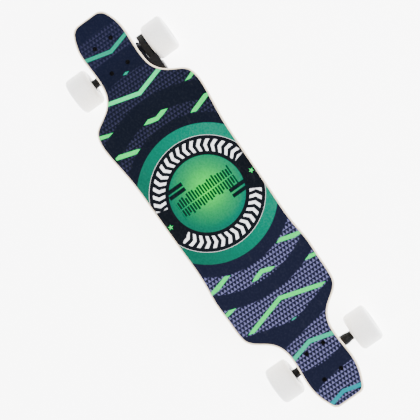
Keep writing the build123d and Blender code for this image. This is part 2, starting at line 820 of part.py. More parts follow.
def drive_point(d, h, y):
    """Point at d from the wheel axle towards the motor axle and h above that line."""
    x = -axle_x + d * math.cos(rise) - h * math.sin(rise)
    z = axle_z + d * math.sin(rise) + h * math.cos(rise)
    return (x, y, z)


def make_motor_mount():
    """Aluminium plate that clamps the hanger and carries the motor."""
    plane = drive_plane(0, mount_outer_y)
    big = clamp_radius
    small = motor_radius
    lean = math.acos((big - small) / drive_centres)
    top_big = (big * math.cos(lean), big * math.sin(lean))
    top_small = (drive_centres + small * math.cos(lean), small * math.sin(lean))
    edges = [
        Line(top_big, top_small),
        ThreePointArc(top_small, (drive_centres + small, 0), (top_small[0], -top_small[1])),
        Line((top_small[0], -top_small[1]), (top_big[0], -top_big[1])),
        ThreePointArc((top_big[0], -top_big[1]), (-big, 0), top_big),
    ]
    plate = extrude(plane * make_face(edges), mount_thickness, dir=(0, -1, 0))
    window = [
        cross_cylinder(*flat(drive_point(d, 0, 0)), r, mount_y - 1, mount_outer_y + 1)
        for d, r in ((27.5, 6.0), (41.0, 5.0))
    ]
    bore = cross_cylinder(-axle_x, axle_z, hanger_flare_radius, mount_y - 1, mount_outer_y + 1)
    boss = cross_cylinder(motor_x, motor_z, motor_boss_radius + 0.1, mount_y - 1, mount_outer_y + 1)
    screw_holes = motor_screw_shanks(screw_diameter / 2 + screw_clearance)
    mount_mid_y = (mount_y + mount_outer_y) / 2
    slit = drive_plane(-clamp_radius, mount_mid_y) * Box(2 * clamp_wall + 4, clamp_slit, 30)
    body = plate - bore - boss - window - screw_holes - slit
    clamp_hole = clamp_plane() * Cylinder(screw_diameter / 2 + screw_clearance, 60)
    head_seats = [
        clamp_plane() * Pos(0, 0, side * (clamp_head_h + 20)) * Cylinder(clamp_head_radius + 0.3, 40)
        for side in (-1, 1)
    ]
    cover_holes = [shank for shank, _ in cover_screw_parts()]
    return body - clamp_hole - head_seats - cover_holes


def flat(point):
    """X and Z of a point."""
    return point[0], point[2]


def motor_screw_shanks(radius):
    """Cylinders on the circle of screws between the mount and the motor."""
    shanks = []
    for turn in motor_screw_turns:
        angle = math.radians(turn)
        x = motor_x + mount_hole_radius * math.cos(angle)
        z = motor_z + mount_hole_radius * math.sin(angle)
        shanks.append(cross_cylinder(x, z, radius, mount_y - 6, mount_outer_y + 0.5))
    return shanks


def clamp_plane():
    """Plane whose normal is the axis of the screw that closes the clamp."""
    centre = drive_point(clamp_screw_d, 0, (mount_y + mount_outer_y) / 2)
    return Plane(origin=centre, x_dir=(0, 1, 0), z_dir=(-math.sin(rise), 0, math.cos(rise)))


def cover_ears(radius, y_low, y_high):
    """Cylinders at the two ears that hold the belt cover to the mount."""
    ears = []
    for side in (-1, 1):
        angle = rise + side * math.radians(ear_turn)
        x = motor_x + ear_reach * math.cos(angle)
        z = motor_z + ear_reach * math.sin(angle)
        ears.append(cross_cylinder(x, z, radius, y_low, y_high))
    return ears


def cover_screw_parts():
    """Shank and head of each belt cover screw."""
    face = mount_outer_y + ear_height
    shanks = cover_ears(cover_screw_radius, mount_y + 1, face)
    heads = cover_ears(cover_head_radius, face, face + 1.6)
    return list(zip(shanks, heads))


def make_drive_screws():
    """Four motor screws, the clamp screw with its nut, and two belt cover screws."""
    pieces = []
    for turn in motor_screw_turns:
        angle = math.radians(turn)
        x = motor_x + mount_hole_radius * math.cos(angle)
        z = motor_z + mount_hole_radius * math.sin(angle)
        shank = cross_cylinder(x, z, screw_diameter / 2, mount_y - 5, mount_outer_y)
        head = cross_cylinder(x, z, 2.9, mount_outer_y, mount_outer_y + 1.2)
        pieces.append(shank + head - cross_cylinder(x, z, 1.2, mount_outer_y + 0.2, mount_outer_y + 3))
    shank = clamp_plane() * Cylinder(screw_diameter / 2, 2 * clamp_head_h)
    head = clamp_plane() * Pos(0, 0, clamp_head_h + 1.6) * Cylinder(clamp_head_radius, 3.2)
    nut = clamp_plane() * Pos(0, 0, -clamp_head_h) * extrude(RegularPolygon(3.4, 6), -2.6)
    pieces.append(shank + head + nut)
    pieces.extend(shank + head for shank, head in cover_screw_parts())
    return group(pieces)


def make_motor_housing():
    shell = cross_cylinder(motor_x, motor_z, motor_radius, motor_inner_y, mount_y)
    shell = fillet(shell.edges().filter_by(GeomType.CIRCLE).sort_by(Axis.Y)[0], 3.0)
    fins = [
        cross_ring(motor_x, motor_z, motor_radius + 1, motor_radius - 0.9, y, y + 1.6)
        for y in [motor_inner_y + 10 + 4.2 * i for i in range(8)]
    ]
    cavity = cross_cylinder(motor_x, motor_z, motor_radius - 2.6, motor_inner_y + 4, mount_y - 5.5)
    shaft_bore = cross_cylinder(motor_x, motor_z, 4.06, motor_inner_y + 2, mount_y + 5)
    front_bore = cross_cylinder(motor_x, motor_z, motor_shaft_diameter / 2 + 0.06, mount_y - 10, mount_y + 1)
    collar = cross_cylinder(motor_x, motor_z, motor_boss_radius, mount_y, mount_y + 3)
    return shell + collar - fins - cavity - shaft_bore - front_bore - motor_screw_shanks(screw_diameter / 2)


def make_stator():
    outer = motor_radius - 2.6
    low, high = motor_inner_y + 10, mount_y - 12
    core = cross_ring(motor_x, motor_z, outer, 13.0, low, high)
    slots = []
    for i in range(12):
        turn = math.radians(30 * i)
        cx = motor_x + 16.2 * math.cos(turn)
        cz = motor_z + 16.2 * math.sin(turn)
        slots.append(cross_cylinder(cx, cz, 2.2, low - 1, high + 1))
    return core - slots


def make_rotor():
    low, high = motor_inner_y + 9, mount_y - 11
    return cross_ring(motor_x, motor_z, 12.5, motor_shaft_diameter / 2, low, high)


def make_motor_shaft():
    rod = cross_cylinder(motor_x, motor_z, motor_shaft_diameter / 2, motor_inner_y + 3, pulley_outer_y + 1)
    return chamfer(rod.edges().filter_by(GeomType.CIRCLE), 0.6)


def make_belt_cover():
    """Cup over the motor pulley, bolted to the mount and cut clear of the driven wheel."""
    inside = cover_outer - cover_wall
    outer_wall_y = wheel_inner_y + 2.6
    shell = belt_prism(inside + cover_wall, mount_outer_y, outer_wall_y)
    shell = fillet(shell.edges().group_by(Axis.Y)[-1], 1.6)
    shell = shell - belt_prism(inside, mount_outer_y - 1, outer_wall_y - cover_wall)
    wheel_room = cross_cylinder(-axle_x, axle_z, wheel_radius + 2.5, wheel_inner_y - 1.4, 200)
    open_end = cross_cylinder(-axle_x, axle_z, wheel_pulley_radius + 6, 0, 200)
    behind = drive_plane(cover_start - 100, 0) * Box(200, 120, 400)
    ears = cover_ears(ear_radius, mount_outer_y, mount_outer_y + ear_height)
    ears = [ear - belt_prism(inside + cover_wall / 2, 0, 90) for ear in ears]
    screw_bores = cover_ears(cover_screw_radius + screw_clearance, 0, 90)
    return shell - wheel_room - open_end - behind + ears - screw_bores


# ---------------------------------------------------------------- cases under the deck
def case_shell(rear_x, length, half_width):
    """Open-topped tray with a flange that screws up to the deck."""
    middle_x = rear_x + length / 2
    inner_length = length - 2 * case_flange
    inner_width = 2 * half_width - 2 * case_flange
    flange_face = RectangleRounded(length, 2 * half_width, case_corner)
    flange = Pos(middle_x, 0, flange_bottom_z) * extrude(flange_face, flange_height_z)
    tub_face = RectangleRounded(inner_length, inner_width, case_corner)
    tub = Pos(middle_x, 0, case_bottom_z) * extrude(tub_face, case_depth)
    tub = fillet(tub.edges().group_by(Axis.Z)[0], 5.0)
    room_height = case_depth - case_wall
    room_length, room_width = inner_length - 2 * case_wall, inner_width - 2 * case_wall
    room_face = RectangleRounded(room_length, room_width, case_corner - case_wall)
    room = Pos(middle_x, 0, case_bottom_z + case_wall) * extrude(room_face, room_height + 1)
    room = fillet(room.edges().group_by(Axis.Z)[0], 3.0)
    return flange + tub - room


def screw_spots(rear_x, length, half_width, count):
    """Screw centres along both long flanges and at the middle of each end flange."""
    inset = case_flange / 2
    spots = []
    for i in range(count):
        x = rear_x + 14 + (length - 28) * i / (count - 1)
        spots.append((x, half_width - inset))
        spots.append((x, -half_width + inset))
    spots.append((rear_x + inset, 0))
    spots.append((rear_x + length - inset, 0))
    return spots


battery_spots = screw_spots(battery_rear_x, battery_length, battery_half_width, 5)
controller_spots = screw_spots(controller_rear_x, controller_length, controller_half_width, 3)


def screw_holes_at(spots, radius):
    """Vertical holes through a flange and its gasket."""
    return [Pos(x, y, deck_bottom_z - 4) * Cylinder(radius, 16) for x, y in spots]


def cable_bore(x, y, z):
    """Cylinder along X where a cable goes through a case's end wall."""
    return Pos(x, y, z) * Rot(0, 90, 0) * Cylinder(cable_diameter / 2, 20)


def make_battery_case():
    shell = case_shell(battery_rear_x, battery_length, battery_half_width)
    barrel_radius = socket_radius - socket_rim
    socket_bore = cross_cylinder(socket_x, socket_z, barrel_radius, socket_wall_y - 10, socket_wall_y + 10)
    link = cable_bore(battery_rear_x + case_flange, link_y, link_z)
    return shell - socket_bore - link - screw_holes_at(battery_spots, screw_diameter / 2 + screw_clearance)


def make_controller_case():
    shell = case_shell(controller_rear_x, controller_length, controller_half_width)
    barrel_radius = button_diameter / 2 + button_wall
    button_bore = cross_cylinder(button_x, socket_z, barrel_radius, button_wall_y - 10, button_wall_y + 10)
    link_x = controller_rear_x + controller_length - case_flange
    link = cable_bore(link_x, link_y, link_z)
    cable_hole = cable_bore(controller_rear_x + case_flange, motor_cable_y, cable_port_z)
    window = Pos(sink_x, 0, case_bottom_z) * Box(sink_length - 8, 2 * sink_half_width - 8, 20)
    holes = screw_holes_at(controller_spots, screw_diameter / 2 + screw_clearance)
    return shell - button_bore - link - cable_hole - window - holes


def gasket(rear_x, length, half_width, spots):
    """Flat seal between a case's flange and the deck."""
    middle_x = rear_x + length / 2
    outer = RectangleRounded(length, 2 * half_width, case_corner)
    inner = RectangleRounded(length - 2 * case_flange, 2 * half_width - 2 * case_flange, case_corner)
    seal = Pos(middle_x, 0, case_top_z) * extrude(outer - inner, gasket_thickness)
    return seal - screw_holes_at(spots, screw_diameter / 2 + screw_clearance)


def make_case_screws():
    pieces = []
    for x, y in battery_spots + controller_spots:
        shank = Pos(x, y, flange_bottom_z + screw_length / 2) * Cylinder(screw_diameter / 2, screw_length)
        head_z = flange_bottom_z - screw_head_height / 2
        head = Pos(x, y, head_z) * Cylinder(screw_head_radius, screw_head_height)
        head = fillet(head.edges().filter_by(GeomType.CIRCLE).sort_by(Axis.Z)[0], 1.2)
        recess = Pos(x, y, flange_bottom_z - screw_head_height) * Cylinder(1.3, 2.4)
        pieces.append(shank + head - recess)
    return group(pieces)


def deck_screw_holes():
    """Blind holes in the deck's underside for the case screws."""
    spots = battery_spots + controller_spots
    depth = screw_length - gasket_thickness - flange_height_z
    middle_z = deck_bottom_z + depth / 2 - 0.5
    return [Pos(x, y, middle_z) * Cylinder(screw_diameter / 2, depth + 1) for x, y in spots]


def make_battery_cells():
    """Two rows of cells lying across the board."""
    start_x = battery_rear_x + case_flange + case_wall + cell_start
    z = case_bottom_z + case_wall + cell_diameter / 2 + 1.5
    pieces = []
    for i in range(cell_rows):
        x = start_x + i * cell_pitch
        for low in (cell_gap, -cell_gap - cell_length):
            pieces.append(cross_cylinder(x, z, cell_diameter / 2, low, low + cell_length))
    return group(pieces)


def board(x, y, z, length, width, parts):
    """Circuit board with square-sided components on it."""
    plate = Pos(x, y, z) * Box(length, width, board_thickness)
    for px, py, lx, ly, lz in parts:
        plate += Pos(x + px, y + py, z + board_thickness / 2 + lz / 2) * Box(lx, ly, lz)
    return plate


def make_battery_board():
    x = battery_rear_x + case_flange + case_wall + 16
    parts = [(0, -16, 10, 8, 4), (0, 0, 12, 10, 3), (4, 16, 8, 14, 6)]
    return board(x, 24, case_bottom_z + case_wall + 6, 24, 56, parts)


def make_controller_board():
    parts = [
        (-26, -20, 12, 30, 5),
        (-26, 14, 12, 26, 5),
        (0, 0, 26, 26, 3),
        (26, -18, 14, 14, 10),
        (28, 12, 10, 16, 8),
    ]
    return board(sink_x - 2, 0, case_bottom_z + case_wall + 8, 84, 84, parts)


def make_heat_sink():
    base = Pos(sink_x, 0, case_bottom_z + 1.5) * Box(sink_length - 8, 2 * sink_half_width - 8, 7)
    lip = Pos(sink_x, 0, case_bottom_z + case_wall + 1.2) * Box(sink_length, 2 * sink_half_width, 2.4)
    fins = [
        Pos(sink_x, y, case_bottom_z - 2) * Box(sink_length - 10, 1.8, 7)
        for y in [sink_fin_pitch * (i - (sink_fins - 1) / 2) for i in range(sink_fins)]
    ]
    return base + lip + fins


def make_charge_socket():
    barrel = cross_cylinder(socket_x, socket_z, socket_radius - socket_rim, socket_wall_y - 8, socket_wall_y)
    rim = cross_cylinder(socket_x, socket_z, socket_radius, socket_wall_y, socket_wall_y + 2.2)
    well = cross_cylinder(socket_x, socket_z, socket_radius - 3.2, socket_wall_y - 5, socket_wall_y + 5)
    stem = Pos(socket_x, socket_wall_y + 1.1, cap_hinge_z - 2.4) * Box(5, 2.2, 5)
    knuckle = Pos(socket_x, cap_hinge_y, cap_hinge_z) * Rot(0, 90, 0) * Cylinder(1.9, 5)
    pin_bore = Pos(socket_x, cap_hinge_y, cap_hinge_z) * Rot(0, 90, 0) * Cylinder(0.85, 9)
    return barrel + rim + stem + knuckle - well - pin_bore


def make_charge_cap():
    low = socket_wall_y + 2.4
    disc = cross_cylinder(socket_x, socket_z, socket_radius + 0.6, low, low + cap_thickness)
    disc = fillet(disc.edges().filter_by(GeomType.CIRCLE).sort_by(Axis.Y)[-1], 0.9)
    plug = cross_cylinder(socket_x, socket_z, socket_radius - 4.2, low - 1.2, low)
    plug = plug - cross_cylinder(socket_x, socket_z, 1.8, low - 3, low - 0.1)
    arms = []
    for side in (-1, 1):
        arm_x = socket_x + side * 3.9
        arms.append(Pos(arm_x, low + 0.9, cap_hinge_z - 3.0) * Box(2.2, 1.8, 6.0))
        arms.append(Pos(arm_x, cap_hinge_y, cap_hinge_z) * Rot(0, 90, 0) * Cylinder(1.8, 2.2))
    pin = Pos(socket_x, cap_hinge_y, cap_hinge_z) * Rot(0, 90, 0) * Cylinder(0.8, 9)
    grip = cross_cylinder(socket_x, socket_z - socket_radius - 0.6, 2.2, low, low + cap_thickness)
    return disc + plug + arms + pin + grip


def make_button_bezel():
    outer = button_diameter / 2 + 3.2
    rim = cross_cylinder(button_x, socket_z, outer, button_wall_y, button_wall_y + 2.4)
    rim = fillet(rim.edges().filter_by(GeomType.CIRCLE).sort_by(Axis.Y)[-1], 1.2)
    barrel_radius = button_diameter / 2 + button_wall
    barrel = cross_cylinder(button_x, socket_z, barrel_radius, button_wall_y - 9, button_wall_y)
    bore_radius = button_diameter / 2 + running_clearance
    bore = cross_cylinder(button_x, socket_z, bore_radius, button_wall_y - 7, button_wall_y + 5)
    return rim + barrel - bore


def make_power_button():
    face = button_wall_y + 3.2
    body = cross_cylinder(button_x, socket_z, button_diameter / 2, button_wall_y - 5, face)
    body = fillet(body.edges().filter_by(GeomType.CIRCLE).sort_by(Axis.Y)[-1], 0.7)
    ring = cross_ring(button_x, socket_z, 4.3, 3.6, face - 0.4, face + 1)
    return body - ring


def make_link_cable():
    start = controller_rear_x + controller_length - case_flange - case_wall
    end = battery_rear_x + case_flange + case_wall
    return Pos((start + end) / 2, link_y, link_z) * Rot(0, 90, 0) * Cylinder(cable_diameter / 2, end - start)


def make_motor_cable():
    """Sleeved motor leads from the motor's inner end up to the controller case, with slack for steering."""
    start_y = motor_inner_y
    route = [
        (motor_x + 8, start_y, motor_z + 6),
        (motor_x + 8, start_y - 16, motor_z + 6),
        (motor_x + 14, motor_cable_y + 4, motor_z + 16),
        (controller_rear_x - 16, motor_cable_y - 2, cable_port_z - 12),
        (controller_rear_x - 2, motor_cable_y, cable_port_z),
        (controller_rear_x + case_flange + case_wall, motor_cable_y, cable_port_z),
    ]
    radii = []
    for before, here, after in zip(route, route[1:], route[2:]):
        first = Vector(*here) - Vector(*before)
        second = Vector(*after) - Vector(*here)
        turn = math.radians(first.get_angle(second))
        radii.append(0.45 * min(first.length, second.length) / math.tan(turn / 2))
    path = FilletPolyline(*route, radius=radii)
    section = Plane(origin=path @ 0, z_dir=path % 0) * Circle(cable_diameter / 2)
    return sweep(section, path=path)


# ---------------------------------------------------------------- writing
def save(name, shape):
    if not isinstance(shape, (Compound, Solid, Part)):
        shape = group([shape])
    export_step(shape, os.path.join("parts", name + ".step"))


def main():
    os.makedirs("parts", exist_ok=True)
    deck = make_deck()
    save("deck", deck - deck_screw_holes())
    save("printed_sheet", make_sheet())
    save("deck_bolts", group([
        Pos(end * truck_x + px, py, deck_top_z + sheet_thickness) * make_deck_bolt()
        for end in (-1, 1)
        for px, py in bolt_places
    ]))
    save("deck_nuts", group([
        Pos(end * truck_x + px, py, plate_bottom_z) * make_deck_nut()
        for end in (-1, 1)
        for px, py in bolt_places
    ]))

    both_ends = (("front", at_front), ("rear", at_rear))
    riser = make_riser()
    baseplate = make_baseplate()
    hanger = make_hanger()
    save("risers", group([place(riser) for _, place in both_ends]))
    save("kingpins", group([place(make_kingpin()) for _, place in both_ends]))
    save("pivot_cups", group([place(make_pivot_cup()) for _, place in both_ends]))
    save("cup_washers", group([place(w) for _, place in both_ends for w in make_cup_washers()]))
    save("kingpin_nuts", group([place(make_kingpin_nut()) for _, place in both_ends]))
    for name, place in both_ends:
        save(name + "_baseplate", place(baseplate))
        save(name + "_bushings", place(make_bushings()))
        save(name + "_hanger", place(hanger))
        save(name + "_axle", place(make_axle()))
        save(name + "_axle_nuts", place(make_axle_nuts()))
        save(name + "_inner_races", place(make_inner_races()))
        save(name + "_axle_spacers", place(make_axle_spacers()))

    corners = [("front", axle_x), ("rear", -axle_x)]
    for end, x in corners:
        for side_name, side in (("left", 1), ("right", -1)):
            name = end + "_" + side_name
            save(name + "_tyre", make_tyre(x, side))
            save(name + "_core", make_core(x, side))
            save(name + "_outer_races", make_outer_races(x, side))

    save("wheel_pulley", make_wheel_pulley())
    save("motor_pulley", make_motor_pulley())
    save("drive_belt", make_belt())
    save("motor_mount", make_motor_mount())
    save("drive_screws", make_drive_screws())
    save("motor_housing", make_motor_housing())
    save("motor_stator", make_stator())
    save("motor_rotor", make_rotor())
    save("motor_shaft", make_motor_shaft())
    save("belt_cover", make_belt_cover())

    save("battery_case", make_battery_case())
    save("controller_case", make_controller_case())
    save("case_gaskets", group([
        gasket(battery_rear_x, battery_length, battery_half_width, battery_spots),
        gasket(controller_rear_x, controller_length, controller_half_width, controller_spots),
    ]))
    save("case_screws", make_case_screws())
    save("battery_cells", make_battery_cells())
    save("battery_board", make_battery_board())
    save("controller_board", make_controller_board())
    save("heat_sink", make_heat_sink())
    save("charge_socket", make_charge_socket())
    save("charge_cap", make_charge_cap())
    save("button_bezel", make_button_bezel())
    save("power_button", make_power_button())
    save("link_cable", make_link_cable())
    save("motor_cable", make_motor_cable())


main()
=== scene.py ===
"""Finishes, flexing pieces, floor, light and camera for an electric longboard with a belt drive."""

import json
import logging
import math
from dataclasses import dataclass, field
from enum import Enum
from typing import Any, Iterable, Sequence, Union

import bmesh
import bpy
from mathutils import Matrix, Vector


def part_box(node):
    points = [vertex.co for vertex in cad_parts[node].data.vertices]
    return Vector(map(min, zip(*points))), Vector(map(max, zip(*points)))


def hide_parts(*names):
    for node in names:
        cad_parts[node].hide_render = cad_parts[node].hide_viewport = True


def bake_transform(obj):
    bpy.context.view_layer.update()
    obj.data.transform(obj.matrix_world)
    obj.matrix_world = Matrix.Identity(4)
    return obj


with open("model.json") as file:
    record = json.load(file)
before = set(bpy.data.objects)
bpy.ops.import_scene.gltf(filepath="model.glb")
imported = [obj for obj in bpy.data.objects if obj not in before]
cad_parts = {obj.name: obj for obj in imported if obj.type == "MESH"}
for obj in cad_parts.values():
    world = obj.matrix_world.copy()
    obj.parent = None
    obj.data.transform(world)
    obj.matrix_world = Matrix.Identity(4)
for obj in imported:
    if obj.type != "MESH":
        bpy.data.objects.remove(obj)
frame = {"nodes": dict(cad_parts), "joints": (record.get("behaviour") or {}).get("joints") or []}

logging.basicConfig(level=logging.INFO, format="%(name)s: %(message)s")
LOG = logging.getLogger("longboard")

MM = 0.001
Colour = tuple[float, float, float]


def srgb(red: int, green: int, blue: int) -> Colour:
    """Linear colour of a display colour.

    Args:
        red: red, from 0 to 255.
        green: green, from 0 to 255.
        blue: blue, from 0 to 255.

    Returns:
        The same colour as three linear numbers.
    """
    def linear(channel: int) -> float:
        """Linear value of one channel."""
        share = channel / 255
        return share / 12.92 if share <= 0.04045 else ((share + 0.055) / 1.055) ** 2.4

    return linear(red), linear(green), linear(blue)


# ---------------------------------------------------------------- shader expressions
class Value:
    """A number that varies over a surface, written as a Python expression."""

    def __init__(self, graph: "Graph", socket: bpy.types.NodeSocket) -> None:
        """Wrap one output socket.

        Args:
            graph: the material graph that the socket is in.
            socket: the output socket that carries the number.
        """
        self.graph = graph
        self.socket = socket

    def math(self, operation: str, *others: Union["Value", float]) -> "Value":
        """Result of a Math node on this value and others.

        Args:
            operation: the Math node's operation.
            others: the second and third inputs, where the operation has them.

        Returns:
            The node's output.
        """
        node = self.graph.node("ShaderNodeMath", {"operation": operation}, dict(enumerate((self, *others))))
        return Value(self.graph, node.outputs[0])

    def __add__(self, other: Union["Value", float]) -> "Value":
        """Sum."""
        return self.math("ADD", other)

    def __mul__(self, other: Union["Value", float]) -> "Value":
        """Product."""
        return self.math("MULTIPLY", other)

    def __sub__(self, other: Union["Value", float]) -> "Value":
        """Difference."""
        return self.math("SUBTRACT", other)

    def __rsub__(self, other: float) -> "Value":
        """Number less this value."""
        return self * -1.0 + other

    def __truediv__(self, other: Union["Value", float]) -> "Value":
        """Quotient."""
        return self.math("DIVIDE", other)

    def __abs__(self) -> "Value":
        """Size without sign."""
        return self.math("ABSOLUTE")

    def least(self, other: Union["Value", float]) -> "Value":
        """Smaller of two values."""
        return self.math("MINIMUM", other)

    def most(self, other: Union["Value", float]) -> "Value":
        """Larger of two values."""
        return self.math("MAXIMUM", other)

    def floor(self) -> "Value":
        """Whole number below."""
        return self.math("FLOOR")

    def fraction(self) -> "Value":
        """Part after the whole number below."""
        return self.math("FRACT")

    def root(self) -> "Value":
        """Square root."""
        return self.math("SQRT")

    def above(self, limit: Union["Value", float], soft: float) -> "Value":
        """Mask that rises from 0 to 1 as the value passes a limit.

        Args:
            limit: where the mask is one half.
            soft: width of the rise.

        Returns:
            The mask.
        """
        rise = (self - limit) / soft + 0.5
        return rise.most(0.0).least(1.0)

    def below(self, limit: Union["Value", float], soft: float) -> "Value":
        """Mask that falls from 1 to 0 as the value passes a limit."""
        return 1.0 - self.above(limit, soft)

    def between(self, low: float, high: float, soft: float) -> "Value":
        """Mask that is 1 between two limits."""
        return self.above(low, soft) * self.below(high, soft)


class Graph:
    """A material's node tree with short ways to add nodes."""

    def __init__(self, name: str) -> None:
        """Start an empty material.

        Args:
            name: the material's name.
        """
        self.material = bpy.data.materials.new(name)
        self.material.use_nodes = True
        self.tree = self.material.node_tree
        self.tree.nodes.clear()

    def node(
        self,
        kind: str,
        settings: dict[str, Any] | None = None,
        inputs: dict | None = None,
    ) -> bpy.types.Node:
        """Add one node.

        Args:
            kind: the node's type.
            settings: the node's own settings, set first.
            inputs: values or links of its sockets, by name or place.

        Returns:
            The node.
        """
        made = self.tree.nodes.new(kind)
        for key, setting in (settings or {}).items():
            if key == "stops":
                ramp = made.color_ramp
                for place, colour in setting[2:]:
                    ramp.elements.new(place).color = (*colour, 1.0)
                for element, (place, colour) in zip((ramp.elements[0], ramp.elements[-1]), setting[:2]):
                    element.position = place
                    element.color = (*colour, 1.0)
            else:
                setattr(made, key, setting)
        for key, value in (inputs or {}).items():
            socket = made.inputs[key]
            if isinstance(value, Value):
                self.tree.links.new(value.socket, socket)
            elif isinstance(value, bpy.types.NodeSocket):
                self.tree.links.new(value, socket)
            elif isinstance(socket, bpy.types.NodeSocketColor):
                socket.default_value = (*value, 1.0)
            else:
                socket.default_value = value
        return made

    def place(self) -> tuple[Value, Value, Value]:
        """Position on the object at rest.

        Returns:
            Three values, in millimetres.
        """
        source = self.node("ShaderNodeTexCoord").outputs["Object"]
        split = self.node("ShaderNodeSeparateXYZ", None, {0: source})
        return tuple(Value(self, split.outputs[i]) * 1000.0 for i in range(3))

    def vector(self, x: Value | float, y: Value | float, z: Value | float) -> bpy.types.NodeSocket:
        """Three values as a vector."""
        return self.node("ShaderNodeCombineXYZ", None, {0: x, 1: y, 2: z}).outputs[0]

    def noise(self, at: bpy.types.NodeSocket, scale: float, detail: float = 3.0, rough: float = 0.5) -> Value:
        """Smooth random value about one half.

        Args:
            at: where the noise is read.
            scale: how fine it is.
            detail: how many finer layers it has.
            rough: how strong the finer layers are.

        Returns:
            The value.
        """
        inputs = {"Vector": at, "Scale": scale, "Detail": detail, "Roughness": rough}
        return Value(self, self.node("ShaderNodeTexNoise", None, inputs).outputs[0])

    def cells(self, at: bpy.types.NodeSocket, scale: float) -> Value:
        """Distance to the nearest of many scattered points."""
        node = self.node("ShaderNodeTexVoronoi", {"feature": "F1"}, {"Vector": at, "Scale": scale})
        return Value(self, node.outputs["Distance"])

    def random(self, x: Value, y: Value | float = 0.0) -> Value:
        """Random value for a whole-numbered cell.

        Args:
            x: the cell's first number.
            y: the cell's second number.

        Returns:
            The value.
        """
        at = self.vector(x, y, 0.0)
        node = self.node("ShaderNodeTexWhiteNoise", {"noise_dimensions": "3D"}, {"Vector": at})
        return Value(self, node.outputs["Value"])

    def mix(self, share: Value | float, first: Any, second: Any) -> bpy.types.NodeSocket:
        """Colour that goes from the first to the second as the share goes from 0 to 1."""
        node = self.node("ShaderNodeMix", {"data_type": "RGBA"}, {0: share, 6: first, 7: second})
        return node.outputs[2]

    def finish(
        self,
        colour: Any,
        roughness: Value | float,
        metallic: Value | float = 0.0,
        height: Value | None = None,
        bump: float = 0.3,
        bump_distance: float = 0.0005,
        fixed: dict[str, Any] | None = None,
    ) -> bpy.types.Material:
        """Join the surface to the material's output.

        Args:
            colour: base colour.
            roughness: roughness.
            metallic: how metallic the surface is.
            height: height that the bump follows.
            bump: strength of the bump.
            bump_distance: depth of the bump in metres.
            fixed: sockets that are the same all over.

        Returns:
            The finished material.
        """
        inputs: dict[str, Any] = {"Base Color": colour, "Roughness": roughness, "Metallic": metallic}
        if height is not None:
            relief = {"Strength": bump, "Distance": bump_distance, "Height": height}
            inputs["Normal"] = self.node("ShaderNodeBump", None, relief).outputs[0]
        inputs.update(fixed or {})
        shader = self.node("ShaderNodeBsdfPrincipled", None, inputs)
        self.node("ShaderNodeOutputMaterial", None, {"Surface": shader.outputs[0]})
        return self.material


# ---------------------------------------------------------------- finishes
@dataclass(frozen=True)
class Speckled:
    """A moulded or painted finish: one colour with grain, dust and worn patches."""

    name: str
    colour: Colour
    worn: Colour
    roughness: float = 0.45
    spread: float = 0.18
    grain: float = 900.0
    grain_depth: float = 0.25
    metallic: float = 0.0
    wear: float = 0.12
    coat: float = 0.0
    shine: float = 0.10

    def make(self) -> bpy.types.Material:
        """Build the material.

        Returns:
            The material.
        """
        graph = Graph(self.name)
        x, y, z = graph.place()
        at = graph.vector(x * MM, y * MM, z * MM)
        broad = graph.noise(at, 18.0, 4.0)
        fine = graph.noise(at, self.grain, 2.0)
        scuff = graph.noise(graph.vector(x * 0.002, y * 0.012, z * 0.012), 60.0, 6.0, 0.7)
        worn = scuff.above(0.66, 0.10) * self.wear * 4.0
        base = graph.mix(broad * self.wear * 2.0, self.colour, self.worn)
        colour = graph.mix(worn.least(1.0), base, self.worn)
        rough = (broad - 0.5) * self.spread + fine * 0.10 + self.roughness
        height = fine * self.grain_depth + scuff * 0.2
        fixed = {"Coat Weight": self.coat, "Coat Roughness": 0.25, "Specular IOR Level": self.shine}
        return graph.finish(colour, rough, self.metallic, height, 0.35, 0.0002, fixed)


class Grain(Enum):
    """Which way a metal's fine scratches run."""

    ACROSS_BOARD = (1.0, 0.04, 1.0)
    UPRIGHT = (1.0, 1.0, 0.04)
    NONE = (1.0, 1.0, 1.0)


@dataclass(frozen=True)
class Metal:
    """Bare, plated or anodised metal with fine scratches and small stains."""

    name: str
    colour: Colour
    stain: Colour
    roughness: float = 0.28
    grain: Grain = Grain.NONE
    scratch: float = 0.25

    def make(self) -> bpy.types.Material:
        """Build the material.

        Returns:
            The material.
        """
        graph = Graph(self.name)
        x, y, z = graph.place()
        sx, sy, sz = self.grain.value
        at = graph.vector(x * MM, y * MM, z * MM)
        lines = graph.noise(graph.vector(x * MM * sx, y * MM * sy, z * MM * sz), 1400.0, 3.0, 0.6)
        blotch = graph.noise(at, 45.0, 5.0, 0.6)
        stained = blotch.above(0.60, 0.25) * 0.6
        colour = graph.mix(stained, self.colour, self.stain)
        rough = lines * self.scratch + blotch * 0.16 + (self.roughness - 0.18)
        return graph.finish(colour, rough, 1.0, lines, 0.15, 0.0001)


